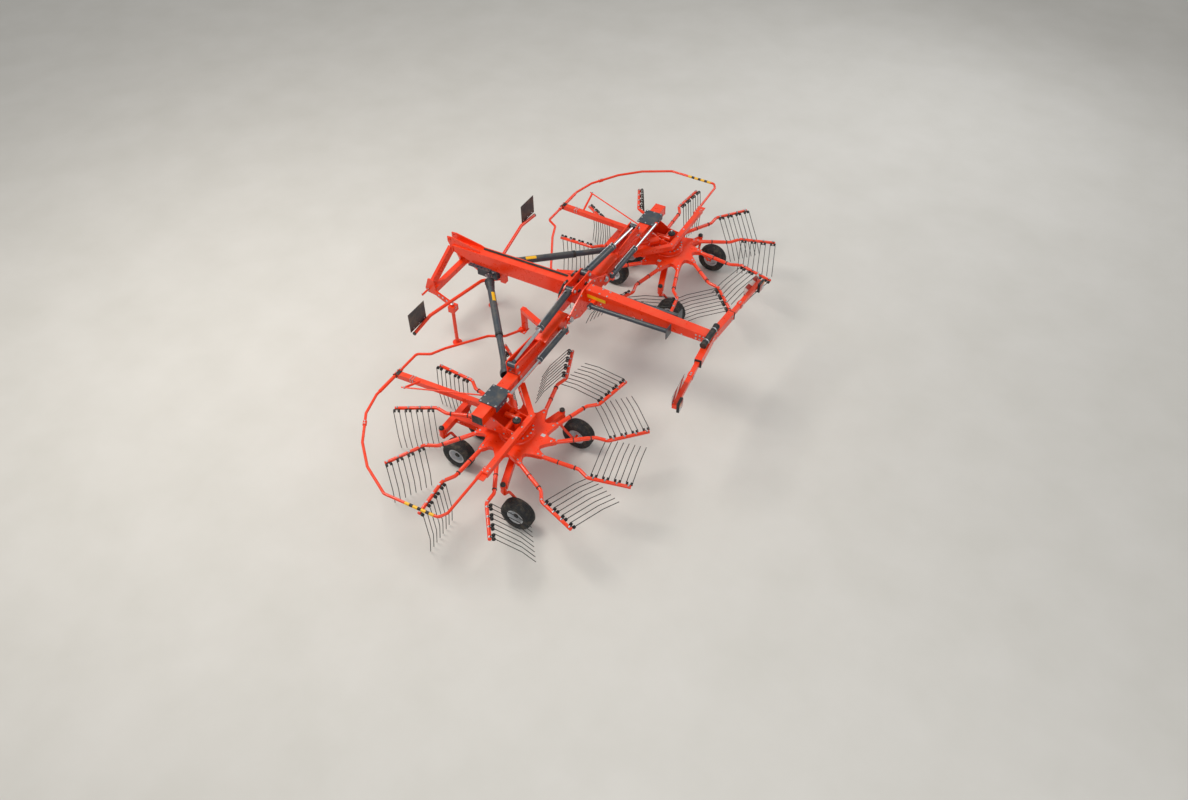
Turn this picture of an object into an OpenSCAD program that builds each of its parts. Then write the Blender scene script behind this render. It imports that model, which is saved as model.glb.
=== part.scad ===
// Twin rotor hay rake with centre swath, carried on a three-point headstock.
// X points forward, Y to the left and Z up, all in millimetres, with the floor at z = 0.
// The left half is drawn and the right half is its mirror image.

/* [Layout] */
// Distance between the two rotor axes
rotor_spacing = 4048; // [3900:2:4150]
// Height of the tine arm plane over the floor
arm_plane_z = 666; // [656:1:680]
// Distance of the top link pin in front of the rotor axes
toplink_x = 2221; // [2180:1:2320]
// Distance of the light bar behind the rotor axes
lightbar_x = 1541; // [1480:1:1640]

/* [Rotor] */
// Number of tine arms on one rotor
tine_arms = 11; // [9:1:13]
// Radius of the tine arm tips
tip_radius = 1560; // [1500:1:1570]
// Radius of the rotor disc
disc_radius = 360; // [340:1:380]
// Diameter of the inner tube of a tine arm
arm_tube_d = 52; // [44:1:58]
// Diameter of the tine bearer at the end of a tine arm
bearer_d = 44; // [36:1:48]
// Number of double tines on one arm
tines_per_arm = 4; // [3:1:5]
// Diameter of the tine wire
tine_wire = 10; // [8:1:12]
// Clearance of the tine tips over the floor
tine_clearance = 16; // [8:1:40]

/* [Boom] */
// Distance of the boom pivots from the middle of the machine
pivot_y = 458; // [440:1:470]
// Height of the boom pivots
pivot_z = 1176; // [1165:1:1185]
// Width of the sliding boom tube
slide_w = 150; // [140:1:152]
// Height of the sliding boom tube
slide_h = 130; // [120:1:136]
// Wall of the outer boom tube
boom_wall = 8; // [6:1:10]
// Running gap round the sliding boom tube
slide_gap = 6; // [5:0.5:8]

/* [Main frame] */
// Width of the front beam
beam_w = 160; // [140:1:176]
// Height of the front beam at the tower
beam_h = 230; // [210:1:250]
// Width of the rear beam
rear_w = 136; // [120:1:150]
// Spread of the lower link pins between their shoulders
lowerlink_span = 825; // [790:1:840]
// Diameter of the lower link pins
lowerlink_pin_d = 28; // [25:1:32]
// Diameter of the top link pin
toplink_pin_d = 25.4; // [22:0.2:28]

/* [Undercarriage] */
// Tyre diameter
tyre_d = 406; // [396:1:412]
// Tyre width
tyre_w = 165; // [155:1:172]
// Rim diameter
rim_d = 204; // [196:1:212]
// Wheel axle diameter
axle_d = 30; // [25:1:36]

/* [Hidden] */
$fn = 48;

PAINT = "#e8361a";
DARK = "#33404c";
CHROME = "#c8ccd2";
BLACK = "#1d1f22";
RIM = "#c9ccd0";

seat = 0.3;
rotor_y = rotor_spacing / 2;
lowerlink = [toplink_x + 209, lowerlink_span / 2, 740];
lug_reach = 40;
bar_sweep = 5;
bar_reach = 1280;
lamp_back = 62;
front_reach = lowerlink[0] + lug_reach;
rear_reach = lightbar_x + lamp_back * cos(bar_sweep) + bar_reach * sin(bar_sweep);
axis_x = -(front_reach - rear_reach) / 2;

// Heights that stack up from the tine arm plane
disc_z = arm_plane_z - 26;
drum_z = arm_plane_z + 54;
support_z = arm_plane_z + 190;
chassis_z = arm_plane_z - 176;

// Boom tube section
slide_x = 293;
slide_z = arm_plane_z + 394;
slide_in_y = 810;
slide_out_y = rotor_y + 340;
boom_w = slide_w + 2 * (slide_gap + boom_wall);
boom_h = slide_h + 2 * (slide_gap + boom_wall);
boom_out_y = rotor_y - 440;
boom_top = slide_z + boom_h / 2;

// Lift cylinder pins
lift_x = 312;
lift_in = [lift_x, 191, pivot_z + 220];
lift_out = [lift_x, rotor_y - 461, boom_top + 111];
lift_len = norm(lift_out - lift_in);
lift_dir = (lift_out - lift_in) / lift_len;
lift_barrel_len = 760;
lift_barrel_d = 90;
lift_rod_d = 45;

// Width cylinder pins
width_z = slide_z + 76;
width_in = [140, pivot_y + 150, width_z];
width_out = [140, rotor_y - 127, width_z];
width_len = norm(width_out - width_in);
width_dir = (width_out - width_in) / width_len;
width_barrel_len = 660;
width_barrel_d = 72;
width_rod_d = 36;

// Drive shaft joints
drive_front = [1570, 160, 1120];
drive_rear = [450, rotor_y - 524, support_z + 24];
drive_len = norm(drive_rear - drive_front);
drive_dir = (drive_rear - drive_front) / drive_len;
drive_outer_d = 96;
drive_inner_d = 80;
cross_half = 36;
cross_pin_d = 16;

// Undercarriage: where each castor pivots, and its trail and the side of its arm
trail = 200;
castor_pin_d = 36;
castor_top_z = chassis_z + 70;
sleeve_d = 66;
castor_front_inner = [900, rotor_y - 280];
castor_front_outer = [900, rotor_y + 280];
castor_rear_inner = [-222, rotor_y - 670];
castor_rear_outer = [-222, rotor_y + 670];

// Headstock
toplink_z = 1430;
stand_x = toplink_x - 215;
stand_y = 455;
stand_sleeve_z = 566;
stand_sleeve_h = 94;
beam_top_front = 1358;
beam_top_rear = 1392;
beam_front_x = toplink_x - 60;
tower_front_x = 400;
tower_rear_x = 176;
tower_plate = 16;
beam_rear_x = tower_front_x + tower_plate;
beam_bottom = beam_top_rear - beam_h;
function beam_top(x) = beam_top_rear + (x - beam_rear_x) * (beam_top_front - beam_top_rear) / (beam_front_x - beam_rear_x);

// Frame helpers: a matrix that sends +Z to a direction, from a starting point
function unit(v) = v / norm(v);
function side(v) = abs(v[2]) > 0.9 * norm(v) ? unit(cross([0, 1, 0], v)) : unit(cross([0, 0, 1], v));
function frame_z(p, v) = let (z = unit(v), x = side(v), y = cross(z, x))
    [[x[0], y[0], z[0], p[0]], [x[1], y[1], z[1], p[1]], [x[2], y[2], z[2], p[2]], [0, 0, 0, 1]];
function frame_xy(p, x, y) = let (z = cross(x, y))
    [[x[0], y[0], z[0], p[0]], [x[1], y[1], z[1], p[1]], [x[2], y[2], z[2], p[2]], [0, 0, 0, 1]];

module placed() {
    translate([axis_x, 0, 0]) children();
}

module right_side() {
    mirror([0, 1, 0]) children();
}

// Round rod from p to q
module rod(p, q, d) {
    multmatrix(frame_z(p, q - p)) cylinder(h = norm(q - p), d = d);
}

// Round pipe from p to q
module pipe(p, q, d, bore) {
    multmatrix(frame_z(p, q - p)) difference() {
        cylinder(h = norm(q - p), d = d);
        translate([0, 0, -1]) cylinder(h = norm(q - p) + 2, d = bore);
    }
}

// Square tube from p to q, w across and h high
module bar(p, q, w, h) {
    multmatrix(frame_z(p, q - p)) translate([-w / 2, -h / 2, 0]) cube([w, h, norm(q - p)]);
}

// How far a bend of radius r at b cuts back along the legs to a and c
function turn(a, b, c) = acos(max(-1, min(1, unit(b - a) * unit(c - b))));
function cut_back(a, b, c, r) = r * tan(turn(a, b, c) / 2);

// Tube through the points of a path, with bends of radius r. A bend is a hair thicker than the
// straight tube, which laps into it.
lap = 1.5;
bend_swell = 0.6;
module bent_tube(path, d, r) {
    n = len(path);
    for (i = [0:n - 2]) {
        u = unit(path[i + 1] - path[i]);
        s = i == 0 ? 0 : cut_back(path[i - 1], path[i], path[i + 1], r);
        e = i == n - 2 ? 0 : cut_back(path[i], path[i + 1], path[i + 2], r);
        rod(path[i] + (i == 0 ? 0 : s - lap) * u, path[i + 1] - (i == n - 2 ? 0 : e - lap) * u, d);
        if (i < n - 2) {
            v = unit(path[i + 2] - path[i + 1]);
            w = unit(v - (u * v) * u);
            multmatrix(frame_xy(path[i + 1] - e * u + r * w, -w, u))
                rotate_extrude(angle = turn(path[i], path[i + 1], path[i + 2]))
                    translate([r, 0]) circle(d = d + bend_swell, $fn = 24);
        }
    }
}

// Tube through the points of a path, with ball knees
module kinked_rod(path, d) {
    for (i = [0:len(path) - 2]) rod(path[i], path[i + 1], d);
    for (i = [1:len(path) - 2]) translate(path[i]) sphere(d = d + 1);
}

// Plate of thickness t across X, drawn as an outline in Y and Z, centred on x
module plate_yz(x, t, outline) {
    translate([x - t / 2, 0, 0]) rotate([90, 0, 90]) linear_extrude(t) polygon(outline);
}

// Plate of thickness t across Y, drawn as an outline in X and Z, centred on y
module plate_xz(y, t, outline) {
    translate([0, y + t / 2, 0]) rotate([90, 0, 0]) linear_extrude(t) polygon(outline);
}

// Pin along X with its middle at p
module pin_x(p, d, l) {
    translate([p[0] - l / 2, p[1], p[2]]) rotate([0, 90, 0]) cylinder(h = l, d = d);
}

// Pin along Y with its middle at p
module pin_y(p, d, l) {
    translate([p[0], p[1] + l / 2, p[2]]) rotate([90, 0, 0]) cylinder(h = l, d = d);
}

// Headstock: top link ears with their pin holes, two legs, cross tube, lower link brackets and pins, stand sleeves
module headstock_leg() {
    leg_top = [beam_front_x + 54, 40, 1290];
    leg_foot = [lowerlink[0] - 40, lowerlink[1] - 50, lowerlink[2] + 60];
    bar(leg_top, leg_foot, 60, 84);
    plate_xz(lowerlink[1] - 20, 16, [
        [lowerlink[0] - 150, lowerlink[2] - 60], [lowerlink[0] + 30, lowerlink[2] - 36],
        [lowerlink[0] + lug_reach, lowerlink[2] + 20], [lowerlink[0] - 20, lowerlink[2] + 190],
        [lowerlink[0] - 110, lowerlink[2] + 190]]);
    pin_y([lowerlink[0], lowerlink[1] + 45, lowerlink[2]], lowerlink_pin_d, 150);
    difference() {
        translate([stand_x - 45, stand_y - 45, stand_sleeve_z]) cube([90, 90, stand_sleeve_h]);
        translate([stand_x, stand_y, stand_sleeve_z - 1]) cylinder(h = stand_sleeve_h + 2, d = 50.6);
    }
    plate_xz(stand_y - 56, 28, [
        [stand_x - 45, stand_sleeve_z + 2], [stand_x + 45, stand_sleeve_z + 2],
        [lowerlink[0] - 140, lowerlink[2] - 50], [lowerlink[0] - 120, lowerlink[2] + 30],
        [stand_x + 45, stand_sleeve_z + stand_sleeve_h - 2], [stand_x - 45, stand_sleeve_z + stand_sleeve_h - 2]]);
}

// Ear of the top link, welded on the beam and on the head plate, with the hole of the link's pin
toplink_ear_y = 52;
toplink_ear_t = 14;
module toplink_ear(y) {
    x0 = toplink_x - 470;
    difference() {
        plate_xz(y, toplink_ear_t, [
            [x0, beam_top(x0)], [beam_front_x, beam_top_front], [beam_front_x, beam_top_front - 90],
            [toplink_x - 20, beam_top_front - 90], [toplink_x + 36, toplink_z - 40],
            [toplink_x + 36, toplink_z + 30], [toplink_x - 40, toplink_z + 38],
            [x0 + 50, beam_top(x0) + 40], [x0, beam_top(x0) + 24]]);
        pin_y([toplink_x, y, toplink_z], toplink_pin_d + 0.5, toplink_ear_t + 2);
    }
}

module headstock() {
    placed() color(PAINT) {
        headstock_leg();
        right_side() headstock_leg();
        translate([lowerlink[0] - 140, -lowerlink[1] + 26, lowerlink[2] - 10])
            cube([80, lowerlink_span - 52, 80]);
        translate([beam_front_x, -beam_w / 2 - 10, beam_bottom + 90])
            cube([16, beam_w + 20, beam_top_front - beam_bottom - 90]);
        for (s = [-1, 1]) toplink_ear(s * toplink_ear_y);
    }
}

// Front beam: closed box that gets lower towards the headstock
module front_beam() {
    placed() color(PAINT)
        plate_xz(0, beam_w, [
            [beam_rear_x, beam_bottom], [beam_front_x - 380, beam_bottom],
            [beam_front_x, beam_bottom + 100], [beam_front_x, beam_top_front],
            [beam_rear_x, beam_top_rear]]);
}

// Centre tower: pivot plates at the front and the back, cylinder ears and rear bulkhead
module pivot_plate(x) {
    plate_yz(x, tower_plate, [
        [-pivot_y + 60, pivot_z - 60], [-200, pivot_z - 150], [200, pivot_z - 150],
        [pivot_y - 60, pivot_z - 60], [pivot_y + 52, pivot_z], [pivot_y + 30, pivot_z + 45],
        [260, 1330], [110, 1392], [-110, 1392], [-260, 1330],
        [-pivot_y - 30, pivot_z + 45], [-pivot_y - 52, pivot_z]]);
    for (s = [-1, 1]) pin_x([x, s * pivot_y, pivot_z], 130, tower_plate);
}

ear_x = 58;
ear_t = 14;
module centre_tower() {
    placed() color(PAINT) {
        pivot_plate(tower_front_x + 8);
        pivot_plate(tower_rear_x - 8);
        for (s = [-1, 1]) {
            difference() {
                plate_yz(lift_x + s * ear_x, ear_t, [
                    [-236, 1370], [-150, 1300], [150, 1300], [236, 1370], [240, 1420],
                    [200, 1450], [90, 1440], [-90, 1440], [-200, 1450], [-240, 1420]]);
                for (t = [-1, 1]) pin_x([lift_x + s * ear_x, t * lift_in[1], lift_in[2]], 40, 20);
            }
            pin_x([(tower_front_x + tower_rear_x) / 2, s * pivot_y, pivot_z], 50, tower_front_x - tower_rear_x + 60);
            pin_x([lift_x, s * lift_in[1], lift_in[2]], 40, 140);
        }
        translate([tower_rear_x, -120, 1130]) cube([tower_front_x - tower_rear_x, 240, 190]);
    }
}

// Rear beam: tapers towards the light bar
rear_start_x = 160;
rear_top_start = 1375;
rear_top_end = 1288;
rear_stand_pivot = [40, 160, 1216];
rear_stand_pin_d = 24;
module rear_beam() {
    placed() color(PAINT) {
        plate_xz(0, rear_w, [
            [rear_start_x, rear_top_start - 200], [-lightbar_x + 40, rear_top_end - 110],
            [-lightbar_x + 40, rear_top_end], [rear_start_x, rear_top_start]]);
        translate([rear_stand_pivot[0] - 30, -rear_stand_pivot[1] + 34, rear_stand_pivot[2] - 30])
            cube([60, 2 * rear_stand_pivot[1] - 68, 60]);
        pin_y([rear_stand_pivot[0], 0, rear_stand_pivot[2]], rear_stand_pin_d, 2 * rear_stand_pivot[1] + 80);
    }
}

// Light bar: middle box and two extension tubes, each half swept back
bar_z = 1240;
module light_bar_half() {
    translate([-lightbar_x, 0, bar_z]) rotate([0, 0, bar_sweep]) {
        translate([-45, -6, -55]) cube([84, 506, 110]);
        translate([-30, 500, -28]) cube([56, bar_reach - 500, 56]);
        translate([-36, 700, -34]) cube([68, 60, 68]);
    }
}

module light_bar() {
    placed() color(PAINT) {
        light_bar_half();
        right_side() light_bar_half();
        translate([-lightbar_x - 44, -rear_w / 2, bar_z - 54]) cube([84 - seat, rear_w, 102]);
    }
}

// Rear lamps at the ends of the light bar
module lamp() {
    translate([-lightbar_x, 0, bar_z]) rotate([0, 0, bar_sweep])
        translate([-lamp_back, bar_reach - 130, -75]) cube([lamp_back - 30 - seat, 130, 130]);
}

module lamps() {
    placed() color(BLACK) {
        lamp();
        right_side() lamp();
    }
}

// Four marker boards: two small ones at the light bar, two at the front board tubes
board_t = 3;
front_board_x = 1849;
board_knee_y = 1097;
module side_boards() {
    translate([-lightbar_x, 0, bar_z]) rotate([0, 0, bar_sweep])
        translate([26.3, 880, 10]) cube([board_t, 400, 141]);
    translate([front_board_x + 23 + seat, board_knee_y + 53, beam_bottom - 132]) cube([board_t, 330, 282]);
}

module marker_boards() {
    placed() color("white") {
        side_boards();
        right_side() side_boards();
    }
}

// Document tube on the light bar
module document_tube() {
    placed() color(BLACK)
        rod([-lightbar_x - 12, -120, bar_z + 93.3], [-lightbar_x - 12, 290, bar_z + 93.3], 76);
}

// Board tubes: bent tubes from a post under the front beam to the front marker boards
board_post_x = front_board_x - 414;
board_tube_z = beam_bottom - 162;
module board_tube() {
    difference() {
        bent_tube([
            [board_post_x, -40, board_tube_z], [front_board_x - 160, 158, board_tube_z],
            [front_board_x, board_knee_y, beam_bottom - 122],
            [front_board_x, board_knee_y + 353, beam_bottom - 162]], 46, 90);
        translate([board_post_x - 400, -300, board_tube_z - 100]) cube([800, 300, 200]);
    }
}

module board_tubes() {
    placed() color(PAINT) {
        board_tube();
        right_side() board_tube();
        translate([board_post_x - 35, -35, board_tube_z - 32]) cube([76, 70, beam_bottom - seat - board_tube_z + 32]);
    }
}

// Gearbox under the front beam with its guard plates and the forks of the two drive shafts
module drive_fork() {
    for (s = [-1, 1])
        difference() {
            union() {
                translate([drive_front[0] + s * (cross_half - 6) - 6, 96, drive_front[2] - 22])
                    cube([12, drive_front[1] - 96, 20]);
                pin_x([drive_front[0] + s * (cross_half - 6), drive_front[1], drive_front[2]], 44, 12);
            }
            pin_x([drive_front[0] + s * (cross_half - 6), drive_front[1], drive_front[2]], cross_pin_d + 0.6, 30);
        }
}

module gearbox() {
    placed() color(DARK) {
        translate([drive_front[0] - 80, -96, drive_front[2] - 90]) cube([300, 192, beam_bottom - drive_front[2] + 90]);
        drive_fork();
        right_side() drive_fork();
        translate([drive_front[0] + 220, 0, drive_front[2] - 30]) rotate([0, 90, 0]) cylinder(h = 120, d = 34.9);
    }
}

// Transport hooks on the tower
hook_d = 26;
hook_x = beam_rear_x + hook_d / 2 + seat;
module hook() {
    top = beam_top_rear + hook_d / 2 + seat;
    bent_tube([[hook_x, 50, top], [hook_x, 150, top], [hook_x, 250, top - 65], [hook_x, 272, top - 120]], hook_d, 30);
}

module transport_hooks() {
    placed() color(BLACK) {
        hook();
        right_side() hook();
    }
}

// Hydraulic hoses in a row along the top of the front beam
hose_from = beam_rear_x + 60;
hose_to = beam_front_x - 420;
module beam_hoses() {
    placed() color(BLACK)
        for (y = [30, 48])
            rod([hose_from, -y, beam_top(hose_from) + 7.3], [hose_to, -y, beam_top(hose_to) + 7.3], 14);
}

// Front parking stand: tube with a foot disc
stand_leg = 690;
module front_stand() {
    translate([stand_x, stand_y, 0]) {
        cylinder(h = 12, d = 130);
        cylinder(h = stand_leg, d = 50);
    }
}

module front_stand_left() {
    placed() color(PAINT) front_stand();
}

module front_stand_right() {
    placed() color(PAINT) right_side() front_stand();
}

// Rear stand: tube stowed along the rear beam, with a foot plate
rear_stand_len = 1080;
module rear_stand() {
    difference() {
        union() {
            translate(rear_stand_pivot) rotate([0, -88.5, 0]) {
                cylinder(h = rear_stand_len, d = 60);
                translate([-70, -70, rear_stand_len - 1]) cube([140, 140, 10]);
            }
            pin_y(rear_stand_pivot, 68, 62);
        }
        pin_y(rear_stand_pivot, rear_stand_pin_d + 2 * seat, 80);
    }
}

module rear_stand_left() {
    placed() color(DARK) rear_stand();
}

module rear_stand_right() {
    placed() color(DARK) right_side() rear_stand();
}

// Inner guard arm, held by a post and an outrigger on the boom. It slides in the sleeve of the outer guard.
hoop_d = 34;
hoop_z = support_z;
hoop_front_x = 1713;
guard_post = [862, pivot_y - 20];
guard_plate_z = hoop_z - 159;
module guard_arm() {
    bent_tube([
        [hoop_front_x, rotor_y + 76, hoop_z], [hoop_front_x, rotor_y - 404, hoop_z],
        [hoop_front_x - 153, rotor_y - 490, hoop_z - 6], [hoop_front_x - 223, rotor_y - 690, hoop_z - 40],
        [hoop_front_x - 513, rotor_y - 1230, hoop_z - 132], [hoop_front_x - 703, rotor_y - 1330, hoop_z - 134],
        [guard_post[0] + 10, guard_post[1] + 30, hoop_z - 134]], hoop_d, 60);
    translate([guard_post[0] - 40, guard_post[1] - 40, guard_plate_z]) cube([120, 120, 12]);
    translate([guard_post[0] - 30, guard_post[1] - 30, guard_plate_z]) cube([60, 60, slide_z - guard_plate_z]);
}

bracket_x = 62;
root_out_y = pivot_y + 522;
// Boom: outer tube on the pivot, with the bracket plates of the lift cylinder
module boom() {
    difference() {
        union() {
            translate([slide_x - boom_w / 2, 540, slide_z - boom_h / 2]) cube([boom_w, boom_out_y - 540, boom_h]);
            bar([guard_post[0], guard_post[1], slide_z - 35], [slide_x + boom_w / 2 - 12, pivot_y + 182, slide_z - 35], 70, 60);
            plate_yz(slide_x, boom_w, [
                [pivot_y - 40, pivot_z - 50], [pivot_y + 90, slide_z - boom_h / 2],
                [pivot_y + 190, slide_z - boom_h / 2], [root_out_y, boom_top], [root_out_y, boom_top + 40],
                [root_out_y - 100, boom_top + 70], [pivot_y + 20, pivot_z + 50], [pivot_y - 40, pivot_z + 40]]);
            for (s = [-1, 1])
                plate_yz(lift_x + s * bracket_x, ear_t, [
                    [root_out_y - 20, boom_top - 4], [boom_out_y, boom_top - 4], [boom_out_y, boom_top + 30],
                    [lift_out[1] + 26, lift_out[2] + 44], [lift_out[1] - 40, lift_out[2] + 44],
                    [root_out_y + 40, boom_top + 110]]);
        }
        translate([slide_x - boom_w / 2 + boom_wall, 552, slide_z - boom_h / 2 + boom_wall])
            cube([boom_w - 2 * boom_wall, boom_out_y, boom_h - 2 * boom_wall]);
        pin_x([slide_x, pivot_y, pivot_z], 51, boom_w + 2);
    }
    for (s = [-1, 1])
        translate([slide_x - slide_w / 2, boom_out_y - 60, slide_z + s * (slide_h / 2 + slide_gap / 2 + seat / 2) - (slide_gap - seat) / 2])
            cube([slide_w, 60, slide_gap - seat]);
    for (s = [-1, 1]) pin_x(lift_out + [s * (bracket_x + 5), 0, 0], 30, 16);
    guard_arm();
    translate([width_in[0] - 30, width_in[1] - 30, width_in[2] - 60])
        cube([slide_x - boom_w / 2 - width_in[0] + 32, 56, 30]);
    translate([width_in[0], width_in[1], width_in[2] - 60]) cylinder(h = 100, d = 24);
}

module boom_left() {
    placed() color(PAINT) boom();
}

module boom_right() {
    placed() color(PAINT) right_side() boom();
}

// Cylinder barrel from its pin eye, hollow for the rod
module barrel(start, dir, length, d, rod_d) {
    multmatrix(frame_z(start, dir)) difference() {
        union() {
            translate([0, 0, 30]) cylinder(h = length - 30, d = d);
            translate([0, 0, length - 50]) cylinder(h = 50, d = d + 4);
        }
        translate([0, 0, 110]) cylinder(h = length - 150, d = d - 16);
        translate([0, 0, 110]) cylinder(h = length, d = rod_d + 2 * seat);
    }
}

// Lift cylinder barrel, with its eye on the tower pin
module lift_barrel() {
    difference() {
        union() {
            barrel(lift_in, lift_dir, lift_barrel_len, lift_barrel_d, lift_rod_d);
            pin_x(lift_in, 80, 2 * ear_x - ear_t - 2 * seat);
        }
        pin_x(lift_in, 40 + 2 * seat, 120);
    }
}

module lift_barrel_left() {
    placed() color(DARK) lift_barrel();
}

module lift_barrel_right() {
    placed() color(DARK) right_side() lift_barrel();
}

// Lift cylinder rod, with its eye and pin between the bracket plates
module lift_rod() {
    rod(lift_in + (lift_barrel_len - 90) * lift_dir, lift_out, lift_rod_d);
    rod(lift_in + (lift_barrel_len - 90) * lift_dir, lift_in + (lift_barrel_len - 60) * lift_dir, lift_barrel_d - 16 - 2 * seat);
    pin_x(lift_out, 64, 2 * bracket_x - ear_t - 2 * seat);
}

module lift_rod_left() {
    placed() color(CHROME) lift_rod();
}

module lift_rod_right() {
    placed() color(CHROME) right_side() lift_rod();
}

// Width cylinder barrel, on the upright pin of the boom bracket
module width_barrel() {
    difference() {
        union() {
            barrel(width_in, width_dir, width_barrel_len, width_barrel_d, width_rod_d);
            translate(width_in - [0, 0, 29.7]) cylinder(h = 56, d = 66);
        }
        translate(width_in - [0, 0, 60]) cylinder(h = 120, d = 24 + 2 * seat);
    }
}

module width_barrel_left() {
    placed() color(DARK) width_barrel();
}

module width_barrel_right() {
    placed() color(DARK) right_side() width_barrel();
}

// Width cylinder rod, held by the lug on the rotor head
module width_rod() {
    rod(width_in + 380 * width_dir, width_out, width_rod_d);
    rod(width_in + 380 * width_dir, width_in + 410 * width_dir, width_barrel_d - 16 - 2 * seat);
}

module width_rod_left() {
    placed() color(CHROME) width_rod();
}

module width_rod_right() {
    placed() color(CHROME) right_side() width_rod();
}

// Sliding boom tube with the rotor head that hangs from it
head_plate = 12;
head_back = -86.7;
column_d = 110;
neck_d = 60;
drive_in = [0, rotor_y, support_z + 30];
aim = unit(drive_rear - drive_in);
module slide() {
    difference() {
        translate([slide_x - slide_w / 2, slide_in_y, slide_z - slide_h / 2])
            cube([slide_w, slide_out_y - slide_in_y, slide_h]);
        translate([slide_x - slide_w / 2 + 8, slide_in_y - 1, slide_z - slide_h / 2 + 8])
            cube([slide_w - 16, slide_out_y - slide_in_y - 7, slide_h - 16]);
    }
    for (y = [rotor_y - 120, rotor_y + 170])
        plate_xz(y, head_plate, [
            [slide_x + slide_w / 2, slide_z - slide_h / 2 + 2], [slide_x - slide_w / 2, slide_z - slide_h / 2 + 2],
            [60, support_z + 50], [head_back, support_z + 30], [head_back, drum_z + 52],
            [slide_x + slide_w / 2, drum_z + 52]]);
    translate([head_back, rotor_y - 126, drum_z + 50]) cube([slide_x + slide_w / 2 - head_back, 302, 12]);
    translate([slide_x + slide_w / 2 - 12, rotor_y - 120, drum_z + 50])
        cube([12, 290, slide_z - slide_h / 2 - drum_z - 49]);
    pin_y([40, rotor_y + 25, support_z + 6], 60, 330);
    translate([0, rotor_y, chassis_z - 40]) cylinder(h = drum_z + 50 - chassis_z + 41, d = column_d);
    translate([0, rotor_y, chassis_z + 50]) cylinder(h = disc_z - 42 - chassis_z - 50, d = 150);
    translate([0, rotor_y, drum_z + 8]) cylinder(h = 44, d = 420);
    rod(drive_in + 150 * aim, drive_in + 300 * aim, 110);
    rod(drive_in + 290 * aim, drive_rear - 40 * aim, neck_d);
    rod(drive_rear - 80 * aim, drive_rear - 18 * aim, 34);
    translate([width_out[0] - 22, width_out[1] + seat, width_out[2] - 36]) cube([40, 24, 54]);
    translate([width_out[0], width_out[1] + seat, width_out[2] - 36])
        cube([slide_x - slide_w / 2 - width_out[0] + 2, 24, slide_z + slide_h / 2 - seat - width_out[2] + 36]);
    pin_x([55, rotor_y - 33, support_z + 34], 66, 210);
    rod([-38, rotor_y + 33, drum_z + 45], [-38, rotor_y + 33, support_z + 70], 64);
}

module slide_left() {
    placed() color(PAINT) slide();
}

module slide_right() {
    placed() color(PAINT) right_side() slide();
}

// Cover plate on the sliding boom tube over the rotor head
module cover() {
    translate([160, rotor_y - 180, slide_z + slide_h / 2]) cube([245, 310, 12]);
    translate([160, width_out[1] + 32, slide_z + slide_h / 2 - 70]) cube([10, rotor_y + 98 - width_out[1], 72]);
}

module cover_left() {
    placed() color(DARK) cover();
}

module cover_right() {
    placed() color(DARK) right_side() cover();
}

// Outer guard: front beam with the sleeve, rear support and the hoop round the rotor
sleeve_in_y = rotor_y - 94;
sleeve_out_y = rotor_y + 348;
crank_x = hoop_front_x - 340;
crank_top = [crank_x, rotor_y + 276, hoop_z + 160];
module guard() {
    head_face = slide_x + slide_w / 2 + seat;
    translate([head_face, rotor_y - 120, hoop_z - 50]) cube([14, 110, 100]);
    bar([head_face + 8, rotor_y - 66, hoop_z - 4], [hoop_front_x - 20, rotor_y, hoop_z - 4], 70, 70);
    difference() {
        union() {
            rod([hoop_front_x, sleeve_in_y, hoop_z], [hoop_front_x, sleeve_out_y, hoop_z], hoop_d + 10);
            pin_y([hoop_front_x, rotor_y, hoop_z], hoop_d + 26, 90);
            pin_y([hoop_front_x, sleeve_in_y + 15, hoop_z], hoop_d + 16, 30);
        }
        rod([hoop_front_x, sleeve_in_y - 1, hoop_z], [hoop_front_x, sleeve_out_y - 12, hoop_z], hoop_d + 1);
    }
    rear_a = [260, rotor_y - 560, hoop_z + 4];
    rear_b = [-122, rotor_y - 158, hoop_z + 4];
    neck = drive_in + ((rear_a - drive_in) * aim) * aim;
    bent_tube([[-76, rotor_y + 800, hoop_z], [-66, rotor_y + 1480, hoop_z], [-10, rotor_y + 1575, hoop_z],
        [700, rotor_y + 1590, hoop_z], [1103, rotor_y + 1366, hoop_z], [1379, rotor_y + 1102, hoop_z],
        [1631, rotor_y + 714, hoop_z], [hoop_front_x, rotor_y + 406, hoop_z],
        [hoop_front_x, sleeve_out_y - 4, hoop_z]], hoop_d, 60);
    bar(rear_a, rear_b, 70, 70);
    translate([head_back - seat - 70, rotor_y - 190, hoop_z - 31]) cube([70, 1036, 70]);
    translate([head_back - seat - 70, rotor_y + 740, hoop_z - 6]) cube([106, 190, 12]);
    bar(rear_a, neck - (neck_d / 2 + seat) * unit(neck - rear_a), 40, 40);
    rod([crank_x, rotor_y - 30, hoop_z + 10], crank_top, 30);
    rod(crank_top + [37, 10, 0], [slide_x + slide_w / 2 + 4, rotor_y - 110, slide_z - 50], 18);
}

module guard_left() {
    placed() color(PAINT) guard();
}

module guard_right() {
    placed() color(PAINT) right_side() guard();
}

drum_r = 215;
// Rotor: disc with a drum and the tine arms. Each arm leaves the disc beside the centre.
// Angles are of the arm tips, counted from +X towards +Y.
phase_left = 13.05;
phase_right = 15.29;
arm_in = [380, -158];
arm_bush = [925, -84];
arm_knee = [1070, -140];
arm_tip = [tip_radius, 0];
function on_arm(p) = [p[0], p[1], arm_plane_z];
arm_turn = atan2(arm_bush[1] - arm_in[1], arm_bush[0] - arm_in[0]);
arm_offset = (arm_in[1] * cos(arm_turn) - arm_in[0] * sin(arm_turn));
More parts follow.
